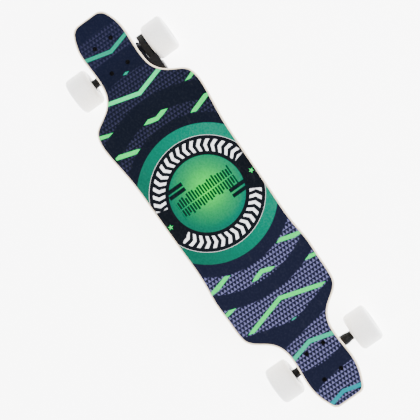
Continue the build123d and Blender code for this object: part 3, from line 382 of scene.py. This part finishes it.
@dataclass(frozen=True)
class Urethane:
    """Cast white urethane of a wheel: satin sides, a scuffed tread and fine mould lines."""

    name: str
    axle_x: float
    axle_z: float
    tread_radius: float
    colour: Colour = srgb(252, 252, 252)
    dust: Colour = srgb(214, 212, 208)

    def make(self) -> bpy.types.Material:
        """Build the material.

        Returns:
            The material.
        """
        graph = Graph(self.name)
        x, y, z = graph.place()
        across, up = x - self.axle_x, z - self.axle_z
        radius = (across * across + up * up).root()
        at = graph.vector(x * MM, y * MM, z * MM)
        cloud = graph.noise(at, 40.0, 4.0)
        streak = graph.noise(graph.vector(x * MM * 0.3, y * MM, z * MM * 0.3), 700.0, 4.0, 0.65)
        pits = graph.cells(at, 520.0)
        tread = radius.above(self.tread_radius - 3.0, 3.0)
        dirty = tread * (streak.above(0.52, 0.25) * 0.38 + cloud * 0.12) + cloud.above(0.62, 0.15) * 0.10
        colour = graph.mix(dirty.least(0.6), self.colour, self.dust)
        rough = tread * 0.22 + streak * 0.10 + 0.34
        rings = (radius * 0.8).fraction()
        groove = rings.between(0.46, 0.54, 0.05) * radius.below(self.tread_radius - 6.0, 2.0)
        height = streak * tread * 0.5 - groove * 0.3 + pits * 0.1 * tread
        fixed = {
            "Subsurface Weight": 0.12,
            "Subsurface Radius": (0.9, 0.85, 0.8),
            "Subsurface Scale": 0.002,
            "Coat Weight": 0.1,
            "Coat Roughness": 0.3,
        }
        return graph.finish(colour, rough, 0.0, height, 0.4, 0.0002, fixed)


@dataclass(frozen=True)
class MaplePly:
    """Seven-ply maple: long grain on the faces and stacked veneers round the rim."""

    name: str
    bottom_z: float
    thickness: float
    flat_half: float
    rail_radius: float
    plies: int = 7
    pale: Colour = srgb(238, 226, 202)
    warm: Colour = srgb(214, 186, 146)
    glue: Colour = srgb(150, 112, 76)

    def make(self) -> bpy.types.Material:
        """Build the material.

        Returns:
            The material.
        """
        graph = Graph(self.name)
        x, y, z = graph.place()
        reach = (abs(y) - self.flat_half).most(0.0)
        lift = reach * reach / (2.0 * self.rail_radius)
        depth = (z - self.bottom_z - lift) / self.thickness * float(self.plies)
        ply = depth.floor()
        tone = graph.random(ply)
        seam = (depth.fraction() - 0.5).math("ABSOLUTE").above(0.44, 0.05)
        wobble = graph.noise(graph.vector(x * MM * 0.8, y * MM * 4.0, 0.0), 6.0, 2.0)
        fibres = graph.vector(x * MM * 1.2, y * MM * 26.0 + wobble * 0.6, z * MM * 10.0)
        grain = graph.noise(fibres, 26.0, 6.0, 0.6)
        pores = graph.noise(graph.vector(x * MM * 5.0, y * MM * 160.0, z * MM * 160.0), 30.0, 2.0)
        shade = grain * 0.55 + tone * 0.25 + pores.above(0.62, 0.1) * 0.15
        wood = graph.mix(shade, self.pale, self.warm)
        edge = depth.between(0.25, self.plies - 0.25, 0.2)
        colour = graph.mix(seam * edge * 0.55, wood, self.glue)
        rough = grain * 0.2 + 0.32
        height = grain * 0.4 + pores * 0.3 - seam * edge * 0.5
        varnish = {"Coat Weight": 0.25, "Coat Roughness": 0.2}
        return graph.finish(colour, rough, 0.0, height, 0.3, 0.0002, varnish)


@dataclass(frozen=True)
class Braid:
    """Woven sleeve of a cable, or the ribs of a belt, by a fine diagonal weave."""

    name: str
    colour: Colour
    light: Colour
    pitch: float = 1.6

    def make(self) -> bpy.types.Material:
        """Build the material.

        Returns:
            The material.
        """
        graph = Graph(self.name)
        x, y, z = graph.place()
        first = ((x + z) / self.pitch).fraction()
        second = ((y + z - x) / self.pitch).fraction()
        weave = (first - 0.5).math("ABSOLUTE") + (second - 0.5).math("ABSOLUTE")
        fuzz = graph.noise(graph.vector(x, y, z), 2.2, 3.0)
        colour = graph.mix(weave * fuzz, self.colour, self.light)
        rough = fuzz * 0.2 + 0.5
        return graph.finish(colour, rough, 0.0, weave + fuzz * 0.3, 0.6, 0.0004)


@dataclass(frozen=True)
class CircuitBoard:
    """Solder mask with traces and pads, dark parts standing on it."""

    name: str
    mask: Colour = srgb(22, 84, 52)
    trace: Colour = srgb(60, 140, 84)
    pad: Colour = srgb(205, 190, 130)
    part: Colour = srgb(24, 24, 27)
    board_top_z: float = 96.0
    pitch: float = 2.54

    def make(self) -> bpy.types.Material:
        """Build the material.

        Returns:
            The material.
        """
        graph = Graph(self.name)
        x, y, z = graph.place()
        column, row = (x / self.pitch).floor(), (y / self.pitch).floor()
        pick = graph.random(column, row)
        line = ((y / self.pitch).fraction() - 0.5).math("ABSOLUTE").below(0.18, 0.06) * pick.above(0.45, 0.05)
        dx, dy = (x / self.pitch).fraction() - 0.5, (y / self.pitch).fraction() - 0.5
        pad = (dx * dx + dy * dy).root().below(0.26, 0.08) * pick.above(0.72, 0.05)
        board = graph.mix(pad, graph.mix(line, self.mask, self.trace), self.pad)
        tall = z.above(self.board_top_z, 0.2)
        dust = graph.noise(graph.vector(x, y, z), 0.7, 4.0)
        colour = graph.mix(tall, board, graph.mix(dust * 0.3, self.part, self.trace))
        return graph.finish(colour, dust * 0.2 + 0.3, pad * 0.8, line + pad, 0.3, 0.0002)


@dataclass(frozen=True)
class Palette:
    """Colours of the printed top sheet."""

    navy: Colour = srgb(12, 15, 32)
    navy_rear: Colour = srgb(6, 10, 21)
    navy_deep: Colour = srgb(5, 8, 14)
    navy_tail: Colour = srgb(9, 13, 31)
    lavender: Colour = srgb(84, 83, 120)
    lavender_dim: Colour = srgb(36, 36, 58)
    leaf: Colour = srgb(9, 188, 82)
    mint: Colour = srgb(12, 190, 108)
    teal: Colour = srgb(6, 122, 96)
    sea: Colour = srgb(10, 146, 110)
    blue_teal: Colour = srgb(6, 110, 119)
    ring: Colour = srgb(5, 98, 78)
    ring_dark: Colour = srgb(4, 74, 58)
    disc_core: Colour = srgb(1, 190, 48)
    disc_mid: Colour = srgb(1, 122, 62)
    disc_rim: Colour = srgb(4, 84, 70)
    disc_lower: Colour = srgb(4, 74, 52)
    ink: Colour = srgb(2, 12, 16)
    ink_green: Colour = srgb(1, 16, 13)
    white: Colour = srgb(246, 246, 250)


@dataclass(frozen=True)
class Shard:
    """A flat pointed shape in the print. Corners run anticlockwise, given for the left half and mirrored."""

    corners: tuple[tuple[float, float], ...]
    tint: Colour


@dataclass(frozen=True)
class PrintedSheet:
    """Transfer-printed top sheet under clear grit, in millimetres on the deck."""

    name: str
    palette: Palette = field(default_factory=Palette)
    emblem_x: float = -33.0
    disc_radius: float = 81.0
    navy_radius: float = 122.0
    hairline: float = 0.45
    ring_radius: float = 148.0
    mark_radius: float = 101.5
    mark_half: float = 12.6
    mark_pitch: float = 15.2
    stroke_pitch: float = 6.4
    stroke_width: float = 4.0
    column_pitch: float = 8.75
    row_pitch: float = 7.8
    print_turn: float = -0.0077
    print_shift: float = 1.6
    soft: float = 0.9
    band_soft: float = 2.0
    front_from: float = 40.0
    front_ring: tuple[float, float] = (175.0, 213.0)
    second_ring: float = 246.0
    second_slant: float = 0.28
    second_ends: tuple[float, float] = (286.0, 284.0)
    third_slant: float = 0.18
    third_crown: float = 0.0035
    third_ends: tuple[float, float] = (314.5, 389.0)
    fourth_slant: float = 0.15
    fourth_crown: float = 0.0015
    fourth_from: float = 421.0
    rear_to: float = -80.0
    rear_rings: tuple[tuple[float, float, float], ...] = (
        (170.0, 196.0, 2.0), (238.0, 303.0, 3.0), (352.0, 414.0, 3.0),
    )
    mark_lean: float = 0.42
    mark_share: float = 0.44
    marks_to: float = 61.0
    marks_from: float = 104.0
    star_place: tuple[float, float] = (-19.0, 103.0)
    star_reach: float = 6.6
    stroke_rows: tuple[tuple[float, float], ...] = ((-60.0, 23.0), (-34.0, 22.0))
    stroke_cut: float = 0.40
    stroke_half: float = 67.0
    low_pair: tuple[float, float] = (-71.0, -32.0)
    low_bars: tuple[tuple[float, float], ...] = ((-84.5, -76.0), (-72.5, -64.0))
    high_pair: tuple[float, float] = (41.0, 83.0)
    high_bars: tuple[tuple[float, float], ...] = ((-14.0, -5.5), (-1.0, 7.0))
    glow_centre: tuple[float, float] = (-8.0, 4.0)
    glow_radius: float = 84.0

    def shards(self) -> list[Shard]:
        """Chevrons and slivers of the print, from the rear to the front.

        Returns:
            The shapes.
        """
        p = self.palette
        return [
            Shard(((-449, 0), (-446, -5), (-443, 0), (-446, 5)), p.navy),
            Shard(((-391, 0), (-408, 62), (-416, 62), (-400, 0)), p.teal),
            Shard(((-336, 0), (-339, 8), (-342, 0), (-339, -8)), p.teal),
            Shard(((-283, 0), (-305, 76), (-314, 76), (-292.5, 0)), p.mint),
            Shard(((-249.5, 106), (-254.5, 124), (-263, 124), (-252.5, 93)), p.leaf),
            Shard(
                ((-186.5, 77), (-199, 119.5), (-204, 119.5), (-206.5, 110), (-195, 73), (-191, 65)),
                p.leaf,
            ),
            Shard(((-218, 0), (-222, 17), (-227, 31), (-232, 17), (-227, 0)), p.leaf),
            Shard(((134, 58.5), (146, 95), (147, 114), (141, 114), (129, 70)), p.leaf),
            Shard(((168.5, 0), (174, 16), (171.5, 29), (165, 17), (160, 0)), p.leaf),
            Shard(((196.5, 87), (200, 100), (202, 115), (195, 115), (192, 101)), p.leaf),
            Shard(((235.5, 0), (260, 84), (256.5, 97), (251, 84), (226.5, 0)), p.leaf),
            Shard(((284, 0), (282, 7), (280, 0), (282, -7)), p.teal),
            Shard(((342.5, 0), (358.5, 60), (349.5, 60), (333.5, 0)), p.sea),
            Shard(((464.5, 0), (476, 44), (467, 44), (456.5, 0)), p.blue_teal),
        ]

    def polygon(self, x: Value, y: Value, corners: Sequence[tuple[float, float]]) -> Value:
        """Mask of a convex outline.

        Args:
            x: place along the board.
            y: place across the board, mirrored to the left half.
            corners: the outline's corners, anticlockwise.

        Returns:
            1 inside and 0 outside.
        """
        inside: Value | None = None
        for (ax, ay), (bx, by) in zip(corners, (*corners[1:], corners[0])):
            if ay == 0 and by == 0:
                continue
            length = math.hypot(bx - ax, by - ay)
            nx, ny = -(by - ay) / length, (bx - ax) / length
            distance = x * nx + y * ny - (ax * nx + ay * ny)
            inside = distance if inside is None else inside.least(distance)
        return inside.above(0.0, self.soft)

    def triangles(self, x: Value, y: Value) -> Value:
        """Mask of the small triangles, whose points face the rear.

        Args:
            x: place along the board.
            y: place across the board.

        Returns:
            The mask.
        """
        column = (x / self.column_pitch).floor()
        along = (x / self.column_pitch).fraction()
        shift = (column * 0.5).fraction()
        row = (y / self.row_pitch + shift).fraction()
        half = (row - 0.5).math("ABSOLUTE")
        return (along * 0.50 - half - 0.03).above(0.0, 0.10) * along.below(0.93, 0.06)

    def bands(self, x: Value, y: Value, radius: Value) -> tuple[Value, Value]:
        """Masks of the triangle-filled bands.

        Args:
            x: place along the board.
            y: place across the board.
            radius: distance from the emblem's centre.

        Returns:
            The mask at the front and the mask at the rear.
        """
        soft = self.band_soft
        side = abs(y)
        slanted = (x + side * self.second_slant).below(self.second_ends[0], soft)
        crowned = x + side * side * self.third_crown
        rounded = x - side * side * self.fourth_crown
        first = radius.between(*self.front_ring, soft)
        second = radius.above(self.second_ring, soft) * slanted * x.below(self.second_ends[1], soft)
        tilted = (x + y * self.third_slant).above(self.third_ends[0], soft)
        third = tilted * crowned.below(self.third_ends[1], soft)
        fourth = (rounded + y * self.fourth_slant).above(self.fourth_from, soft)
        front = (first + second + third + fourth).least(1.0) * x.above(self.front_from, soft)
        inner, middle, outer = (radius.between(*ring) for ring in self.rear_rings)
        rear = (inner + middle + outer).least(1.0) * x.below(self.rear_to, soft)
        return front, rear

    def marks(self, x: Value, y: Value, radius: Value) -> Value:
        """White chevron marks round the dark ring, in two groups parted by the stars.

        Args:
            x: place along the board from the emblem's centre.
            y: place across the board.
            radius: distance from the emblem's centre.

        Returns:
            The mask.
        """
        angle = y.math("ARCTAN2", x)
        offset = abs(radius - self.mark_radius)
        step = (angle * self.mark_radius + offset * self.mark_lean) / self.mark_pitch
        stroke = step.fraction().below(self.mark_share, 0.08)
        ring = offset.below(self.mark_half, self.soft)
        turn = abs(angle)
        front = turn.below(math.radians(self.marks_to), 0.02)
        rear = turn.above(math.radians(self.marks_from), 0.02)
        return stroke * ring * (front + rear)

    def star(self, x: Value, y: Value) -> Value:
        """Mask of a five-pointed star, as the places inside at least four of its five edges.

        Args:
            x: place along the board.
            y: place across the board, without sign.

        Returns:
            The mask.
        """
        cut = self.star_reach * math.cos(math.radians(72.0))
        sides: Value | None = None
        for i in range(5):
            turn = math.radians(126.0 + 72.0 * i)
            level = (x - self.star_place[0]) * math.cos(turn) + (y - self.star_place[1]) * math.sin(turn)
            inside = level.below(cut, 0.6)
            sides = inside if sides is None else sides + inside
        return sides.above(3.55, 0.5)

    def strokes(self, graph: Graph, x: Value, y: Value) -> Value:
        """Mask of two rows of plain parallel strokes of uneven length across the disc.

        Args:
            graph: the material graph.
            x: place along the board.
            y: place across the board.

        Returns:
            The mask.
        """
        step = y / self.stroke_pitch
        index = step.floor()
        stroke = step.fraction().below(self.stroke_width / self.stroke_pitch, 0.10)
        total: Value | None = None
        for row, (start, reach) in enumerate(self.stroke_rows):
            cut = graph.random(index, float(row)) * (reach * self.stroke_cut)
            near_end = x - start
            far_end = near_end * -1.0 + reach
            near_mask = near_end.above(cut * (1.0 - row), self.soft)
            shape = near_mask * far_end.above(cut * float(row), self.soft)
            total = shape if total is None else total + shape
        return total * stroke * abs(y).below(self.stroke_half, self.soft)

    def pairs(self, x: Value, y: Value) -> Value:
        """Mask of the two pairs of dark bars at the disc's edges.

        Args:
            x: place along the board.
            y: place across the board.

        Returns:
            The mask.
        """
        total: Value | None = None
        for span, bars in ((self.low_pair, self.low_bars), (self.high_pair, self.high_bars)):
            near, far = (x.between(*bar, self.soft) for bar in bars)
            pair = y.between(*span, self.soft) * (near + far)
            total = pair if total is None else total + pair
        return total.least(1.0)

    def make(self) -> bpy.types.Material:
        """Build the material.

        Returns:
            The material.
        """
        graph = Graph(self.name)
        p = self.palette
        x, y, z = graph.place()
        at = graph.vector(x * MM, y * MM, z * MM)
        line = x * self.print_turn + self.print_shift
        across = y - line
        ex = x - self.emblem_x
        radius = (ex * ex + y * y).root()

        fade = x.above(-60.0, 260.0)
        mottle = graph.noise(at, 230.0, 3.0, 0.7)
        navy = graph.mix(fade, graph.mix(x.below(-330.0, 160.0), p.navy_rear, p.navy_tail), p.navy)
        front, rear = self.bands(x, across, radius)
        triangles = self.triangles(x, across)
        patchy = graph.noise(at, 34.0, 2.0)
        colour = graph.mix(front * triangles * (patchy * 0.25 + 0.78), navy, p.lavender)
        colour = graph.mix(rear * triangles * (patchy * 0.5 + 0.5), colour, p.lavender_dim)
        side = abs(across)
        for shard in self.shards():
            centred = min(corner[1] for corner in shard.corners) < 0
            mask = self.polygon(x, across if centred else side, shard.corners)
            colour = graph.mix(mask, colour, shard.tint)

        ring_shade = (ex * 0.15 - y) / 200.0 + 0.5
        ring = graph.mix(ring_shade.most(0.0).least(1.0), p.ring, p.ring_dark)
        colour = graph.mix(radius.below(self.ring_radius, self.soft), colour, ring)
        colour = graph.mix(radius.below(self.navy_radius + self.hairline, 0.6), colour, p.white)
        colour = graph.mix(radius.below(self.navy_radius, 0.6), colour, p.navy_deep)
        colour = graph.mix(self.star(x, abs(y)), colour, p.leaf)
        colour = graph.mix(self.marks(ex, y, radius), colour, p.white)

        glow_x, glow_y = ex - self.glow_centre[0], y - self.glow_centre[1]
        glow = (glow_x * glow_x + glow_y * glow_y).root() / self.glow_radius
        ramp = graph.node(
            "ShaderNodeValToRGB",
            {"stops": [(0.0, p.disc_core), (1.0, p.disc_rim), (0.58, p.disc_mid)]},
            {0: glow},
        ).outputs[0]
        disc = radius.below(self.disc_radius, self.soft)
        low_side = ((ex * 0.35 - y) / 160.0 + 0.15).most(0.0).least(1.0)
        ramp = graph.mix(low_side * glow.least(1.0), ramp, p.disc_lower)
        disc_colour = graph.mix(self.strokes(graph, x, y) * 0.94, ramp, p.ink_green)
        colour = graph.mix(disc, colour, disc_colour)
        pairs = self.pairs(x, y) * radius.below(self.disc_radius + 8.0, 1.0)
        colour = graph.mix(pairs, colour, p.ink)

        grit = graph.cells(at, 1500.0)
        sparkle = graph.noise(at, 2600.0, 1.0)
        scuff = graph.noise(graph.vector(x * MM, y * MM * 3.0, z * MM), 22.0, 6.0, 0.7)
        worn = scuff.above(0.64, 0.10) * sparkle.above(0.5, 0.2) * 0.008
        glint = mottle.above(0.60, 0.20) * 0.004
        colour = graph.mix(mottle.below(0.46, 0.16) * 0.16, colour, p.navy_deep)
        colour = graph.mix(worn + glint, colour, p.white)
        rough = grit * 0.35 + scuff * 0.12 + 0.36
        height = grit + sparkle * 0.4
        return graph.finish(colour, rough, 0.0, height, 0.22, 0.0003, {"Specular IOR Level": 0.03})


class Shelf:
    """Every finish of the board, built once and handed out by name."""

    def __init__(self, deck_bottom: float, axle_x: float, axle_z: float, wheel_radius: float) -> None:
        """Build the finishes.

        Args:
            deck_bottom: height of the deck's flat underside, in millimetres.
            axle_x: distance of each axle from the middle of the board, in millimetres.
            axle_z: height of the axles, in millimetres.
            wheel_radius: radius of the wheels, in millimetres.
        """
        finishes = [
            PrintedSheet("printed_top"),
            MaplePly("maple_ply", deck_bottom, thickness=11.4, flat_half=80.0, rail_radius=160.0),
            Urethane("front_urethane", axle_x, axle_z, wheel_radius),
            Urethane("rear_urethane", -axle_x, axle_z, wheel_radius),
            Speckled("powder_coat", srgb(4, 4, 5), srgb(16, 16, 18), 0.42, 0.2, 700.0, 0.5, wear=0.10),
            Speckled("moulded_black", srgb(8, 8, 11), srgb(26, 27, 33), 0.50, 0.2, 1100.0, 0.5, wear=0.08),
            Speckled("nylon_core", srgb(15, 15, 17), srgb(42, 42, 46), 0.40, 0.15, 900.0, 0.3, wear=0.08),
            Speckled("soft_rubber", srgb(10, 10, 11), srgb(38, 38, 36), 0.72, 0.15, 600.0, 0.4),
            Speckled(
                "bushing_teal", srgb(10, 112, 96), srgb(6, 70, 62), 0.38, 0.12, 500.0, 0.2,
                wear=0.10, coat=0.2, shine=0.3,
            ),
            Speckled(
                "cell_wrap", srgb(18, 70, 120), srgb(10, 42, 80), 0.32, 0.1, 300.0, 0.1,
                wear=0.10, coat=0.3, shine=0.3,
            ),
            Metal("zinc_plate", srgb(190, 192, 196), srgb(140, 138, 130), 0.34),
            Metal("black_oxide", srgb(8, 8, 10), srgb(24, 24, 25), 0.46),
            Metal("bearing_steel", srgb(205, 206, 208), srgb(160, 160, 160), 0.20, Grain.UPRIGHT),
            Metal("anodised_black", srgb(12, 13, 18), srgb(32, 34, 42), 0.44, Grain.ACROSS_BOARD),
            Metal("bright_aluminium", srgb(198, 200, 204), srgb(150, 152, 156), 0.32, Grain.ACROSS_BOARD),
            Metal("copper_winding", srgb(176, 98, 60), srgb(96, 54, 36), 0.36),
            Metal("brass_contact", srgb(206, 170, 90), srgb(140, 108, 56), 0.30),
            Braid("cable_braid", srgb(18, 18, 20), srgb(76, 76, 80)),
            CircuitBoard("circuit_board"),
        ]
        self.materials = {finish.name: finish.make() for finish in finishes}

    def dress(self, piece: bpy.types.Object, finish: str) -> None:
        """Put one finish on a whole piece.

        Args:
            piece: the piece.
            finish: the finish's name.
        """
        piece.data.materials.clear()
        piece.data.materials.append(self.materials[finish])


# ---------------------------------------------------------------- pieces
def solid_of_turns(name: str, centre: Vector, axis: Vector, profile: Iterable[tuple[float, float]],
                   segments: int = 64) -> bpy.types.Object:
    """Make a turned piece.

    Args:
        name: the piece's name.
        centre: where the profile's zero lies on the axis, in metres.
        axis: direction of the axis.
        profile: closed half-section as (radius, distance along the axis), in metres.
        segments: steps round the axis.

    Returns:
        The piece.
    """
    rows = list(profile)
    turn = Vector((0, 0, 1)).rotation_difference(axis.normalized()).to_matrix()
    mesh = bmesh.new()
    rings = []
    for i in range(segments):
        angle = 2 * math.pi * i / segments
        ring = []
        for radius, height in rows:
            spot = Vector((radius * math.cos(angle), radius * math.sin(angle), height))
            ring.append(mesh.verts.new(centre + turn @ spot))
        rings.append(ring)
    count = len(rows)
    for i in range(segments):
        here, after = rings[i], rings[(i + 1) % segments]
        for j in range(count):
            k = (j + 1) % count
            mesh.faces.new((here[j], after[j], after[k], here[k]))
    bmesh.ops.recalc_face_normals(mesh, faces=mesh.faces)
    data = bpy.data.meshes.new(name)
    mesh.to_mesh(data)
    mesh.free()
    for polygon in data.polygons:
        polygon.use_smooth = True
    piece = bpy.data.objects.new(name, data)
    bpy.context.scene.collection.objects.link(piece)
    return piece


@dataclass
class Bushings:
    """The two urethane bushings of a truck, which squeeze and lean as its hanger steers."""

    end: str
    shelf: Shelf
    radius: float = 11.5 * MM
    bore: float = 5.15 * MM
    length: float = 14.0 * MM
    ring_half: float = 4.0 * MM
    edge: float = 1.5 * MM
    shrink: float = 0.1 * MM

    def build(self, centre: Vector, pin_axis: Vector) -> None:
        """Make both bushings and hide the CAD bushings.

        Args:
            centre: centre of the hanger's ring.
            pin_axis: kingpin direction, pointing down and outboard.
        """
        made = []
        for label, sign in (("board_side", -1.0), ("road_side", 1.0)):
            base = centre + pin_axis * (sign * self.ring_half)
            outward = pin_axis * sign
            piece = solid_of_turns(f"{self.end}_{label}_bushing", base, outward, self.section())
            self.shelf.dress(piece, "bushing_teal")
            tip = base + outward * self.length
            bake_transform(piece)
            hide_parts(f"{self.end}_bushings")
            made.append(piece.name)
        LOG.info("bushings: %s", made)

    def section(self) -> list[tuple[float, float]]:
        """Half-section of one bushing, with rounded edges.

        Returns:
            Points of the closed section as (radius, distance along the axis), in metres.
        """
        length, radius, bore, edge = self.length, self.radius - self.shrink, self.bore, self.edge
        outer = []
        for i in range(5):
            turn = math.pi / 2 * i / 4
            outer.append((radius - edge + edge * math.sin(turn), edge - edge * math.cos(turn)))
        for i in range(1, 8):
            share = i / 8
            outer.append((radius, edge + (length - 2 * edge) * share))
        for i in range(5):
            turn = math.pi / 2 * i / 4
            outer.append((radius - edge + edge * math.cos(turn), length - edge + edge * math.sin(turn)))
        inner = [(bore, length * (1 - i / 8)) for i in range(9)]
        return outer + inner


@dataclass
class MotorCable:
    """Braided sleeve of the motor leads, which bends as the rear truck steers."""

    shelf: Shelf
    diameter: float = 7.0 * MM
    cable_y: float = -36.0 * MM
    port_drop: float = 12.0 * MM

    def route(self) -> list[Vector]:
        """Points of the sleeve from the motor's inner end to the controller case.

        Returns:
            The points, in metres.
        """
        motor_low, motor_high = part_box("motor_shaft")
        middle = (motor_low + motor_high) / 2
        housing_low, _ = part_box("motor_housing")
        case_low, case_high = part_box("controller_case")
        cable_y = self.cable_y
        port_z = case_high.z - self.port_drop
        return [
            Vector((middle.x + 0.008, housing_low.y, middle.z + 0.006)),
            Vector((middle.x + 0.008, housing_low.y - 0.016, middle.z + 0.006)),
            Vector((middle.x + 0.014, cable_y + 0.004, middle.z + 0.016)),
            Vector((case_low.x - 0.016, cable_y - 0.002, port_z - 0.012)),
            Vector((case_low.x - 0.002, cable_y, port_z)),
            Vector((case_low.x + 0.0125, cable_y, port_z)),
        ]

    def build(self) -> None:
        """Make the sleeve from the motor to the controller case and hide the CAD cable."""
        points = self.route()
        curve = bpy.data.curves.new("motor_sleeve", "CURVE")
        curve.dimensions = "3D"
        curve.bevel_depth = self.diameter / 2
        curve.bevel_resolution = 8
        curve.resolution_u = 16
        curve.use_fill_caps = True
        spline = curve.splines.new("NURBS")
        spline.points.add(len(points) - 1)
        for knot, point in zip(spline.points, points):
            knot.co = (*point, 1.0)
        spline.order_u = 3
        spline.use_endpoint_u = True
        source = bpy.data.objects.new("motor_sleeve_path", curve)
        mesh = bpy.data.meshes.new_from_object(source)
        bpy.data.objects.remove(source)
        piece = bpy.data.objects.new("motor_sleeve", mesh)
        bpy.context.scene.collection.objects.link(piece)
        self.shelf.dress(piece, "cable_braid")
        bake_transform(piece)
        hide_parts("motor_cable")
        LOG.info("motor sleeve: %d points", len(points))


@dataclass
class Longboard:
    """The whole board: which finish each CAD piece takes, and its flexing pieces."""

    shelf: Shelf
    finishes: dict[str, str] = field(
        default_factory=lambda: {
            "deck": "maple_ply",
            "printed_sheet": "printed_top",
            "deck_bolts": "black_oxide",
            "deck_nuts": "zinc_plate",
            "risers": "soft_rubber",
            "baseplate": "powder_coat",
            "kingpins": "zinc_plate",
            "pivot_cups": "moulded_black",
            "bushings": "bushing_teal",
            "cup_washers": "zinc_plate",
            "kingpin_nuts": "zinc_plate",
            "hanger": "powder_coat",
            "axle": "zinc_plate",
            "axle_nuts": "zinc_plate",
            "inner_races": "bearing_steel",
            "outer_races": "bearing_steel",
            "axle_spacers": "zinc_plate",
            "core": "nylon_core",
            "wheel_pulley": "moulded_black",
            "motor_pulley": "bright_aluminium",
            "drive_belt": "soft_rubber",
            "motor_mount": "anodised_black",
            "drive_screws": "black_oxide",
            "motor_housing": "anodised_black",
            "motor_stator": "copper_winding",
            "motor_rotor": "zinc_plate",
            "motor_shaft": "bearing_steel",
            "belt_cover": "moulded_black",
            "battery_case": "moulded_black",
            "controller_case": "moulded_black",
            "case_gaskets": "soft_rubber",
            "case_screws": "black_oxide",
            "battery_cells": "cell_wrap",
            "battery_board": "circuit_board",
            "controller_board": "circuit_board",
            "heat_sink": "anodised_black",
            "charge_socket": "brass_contact",
            "charge_cap": "soft_rubber",
            "button_bezel": "bright_aluminium",
            "power_button": "zinc_plate",
            "link_cable": "cable_braid",
            "motor_cable": "cable_braid",
        }
    )

    def finish_of(self, node: str) -> str:
        """Finish of a CAD node, by its own name or by what it is.

        Args:
            node: the node's name.

        Returns:
            The finish's name.
        """
        if node.endswith("_tyre"):
            return "front_urethane" if node.startswith("front") else "rear_urethane"
        if node in self.finishes:
            return self.finishes[node]
        for prefix in ("front_left_", "front_right_", "rear_left_", "rear_right_", "front_", "rear_"):
            if node.startswith(prefix) and node[len(prefix):] in self.finishes:
                return self.finishes[node[len(prefix):]]
        return "moulded_black"

    def dress(self) -> None:
        """Put a finish on every CAD piece."""
        for node, piece in frame["nodes"].items():
            finish = self.finish_of(node)
            self.shelf.dress(piece, finish)
            LOG.info("%s: %s", node, finish)

    def build(self) -> None:
        """Dress the CAD pieces and make the flexing ones."""
        self.dress()
        joints = {joint["name"]: joint for joint in frame["joints"]}
        for end in ("front", "rear"):
            joint = joints[f"{end}_steering"]
            axis = Vector(joint["axis"]).normalized()
            pin_axis = Vector((axis.z * math.copysign(1.0, axis.x), 0.0, -abs(axis.x)))
            Bushings(end, self.shelf).build(Vector(joint["pos_m"]), pin_axis)
        MotorCable(self.shelf).build()


# ---------------------------------------------------------------- studio
@dataclass
class Studio:
    """Pale floor, soft lights and the camera above the board."""

    camera_place: tuple[float, float, float] = (0.31236, 0.29751, 3.21343)
    camera_turn: tuple[float, float, float] = (1.4330, 8.0478, 55.0017)
    lens: float = 128.57
    lights: tuple[tuple[str, tuple[float, float, float], float, float], ...] = (
        ("key", (1.6, 1.8, 3.4), 2.6, 225.0),
        ("fill", (-2.2, 1.2, 2.6), 3.0, 122.0),
        ("back", (0.4, -2.6, 2.4), 3.0, 108.0),
    )
    sky: float = 1.3
    floor_glow: float = 5.5
    floor_half: float = 6.0
    floor_colour: Colour = srgb(250, 250, 250)

    def floor(self) -> None:
        """Make the plain floor."""
        mesh = bpy.data.meshes.new("floor")
        half = self.floor_half
        corners = [(-half, -half, 0), (half, -half, 0), (half, half, 0), (-half, half, 0)]
        mesh.from_pydata(corners, [], [(0, 1, 2, 3)])
        piece = bpy.data.objects.new("floor", mesh)
        bpy.context.scene.collection.objects.link(piece)
        graph = Graph("studio_floor")
        x, y, _ = graph.place()
        cloud = graph.noise(graph.vector(x * MM, y * MM, 0.0), 3.0, 2.0)
        shade = graph.mix(cloud * 0.3, self.floor_colour, srgb(246, 246, 246))
        glow = {"Emission Color": (1.0, 1.0, 1.0), "Emission Strength": self.floor_glow}
        mesh.materials.append(graph.finish(shade, 0.9, fixed=glow))

    def light(self, name: str, place: Sequence[float], size: float, power: float) -> None:
        """Add one soft light that faces the middle of the board.

        Args:
            name: the light's name.
            place: where it hangs, in metres.
            size: its width, in metres.
            power: its power, in watts.
        """
        data = bpy.data.lights.new(name, "AREA")
        data.size = size
        data.energy = power
        lamp = bpy.data.objects.new(name, data)
        lamp.location = place
        lamp.rotation_euler = (Vector((0, 0, 0.1)) - Vector(place)).to_track_quat("-Z", "Y").to_euler()
        bpy.context.scene.collection.objects.link(lamp)

    def camera(self) -> None:
        """Place the camera."""
        data = bpy.data.cameras.new("camera")
        data.sensor_width = 36.0
        data.lens = self.lens
        data.clip_end = 50.0
        eye = bpy.data.objects.new("camera", data)
        eye.location = self.camera_place
        eye.rotation_euler = tuple(math.radians(turn) for turn in self.camera_turn)
        bpy.context.scene.collection.objects.link(eye)
        bpy.context.scene.camera = eye

    def build(self) -> None:
        """Make the camera, floor, lights and sky."""
        self.camera()
        self.floor()
        for light in self.lights:
            self.light(*light)
        world = bpy.data.worlds.new("studio")
        world.use_nodes = True
        background = world.node_tree.nodes["Background"]
        background.inputs["Color"].default_value = (1.0, 1.0, 1.0, 1.0)
        background.inputs["Strength"].default_value = self.sky
        bpy.context.scene.world = world
        LOG.info("studio: camera, floor and lights")


def main() -> None:
    """Build the studio and the board, in order."""
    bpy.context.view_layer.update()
    Studio().build()
    deck_low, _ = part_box("deck")
    tyre_low, tyre_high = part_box("front_left_tyre")
    middle = (tyre_low + tyre_high) / 2
    radius = (tyre_high.z - tyre_low.z) / 2
    shelf = Shelf(deck_low.z / MM, middle.x / MM, middle.z / MM, radius / MM)
    Longboard(shelf).build()


if __name__ == "__main__":
    main()
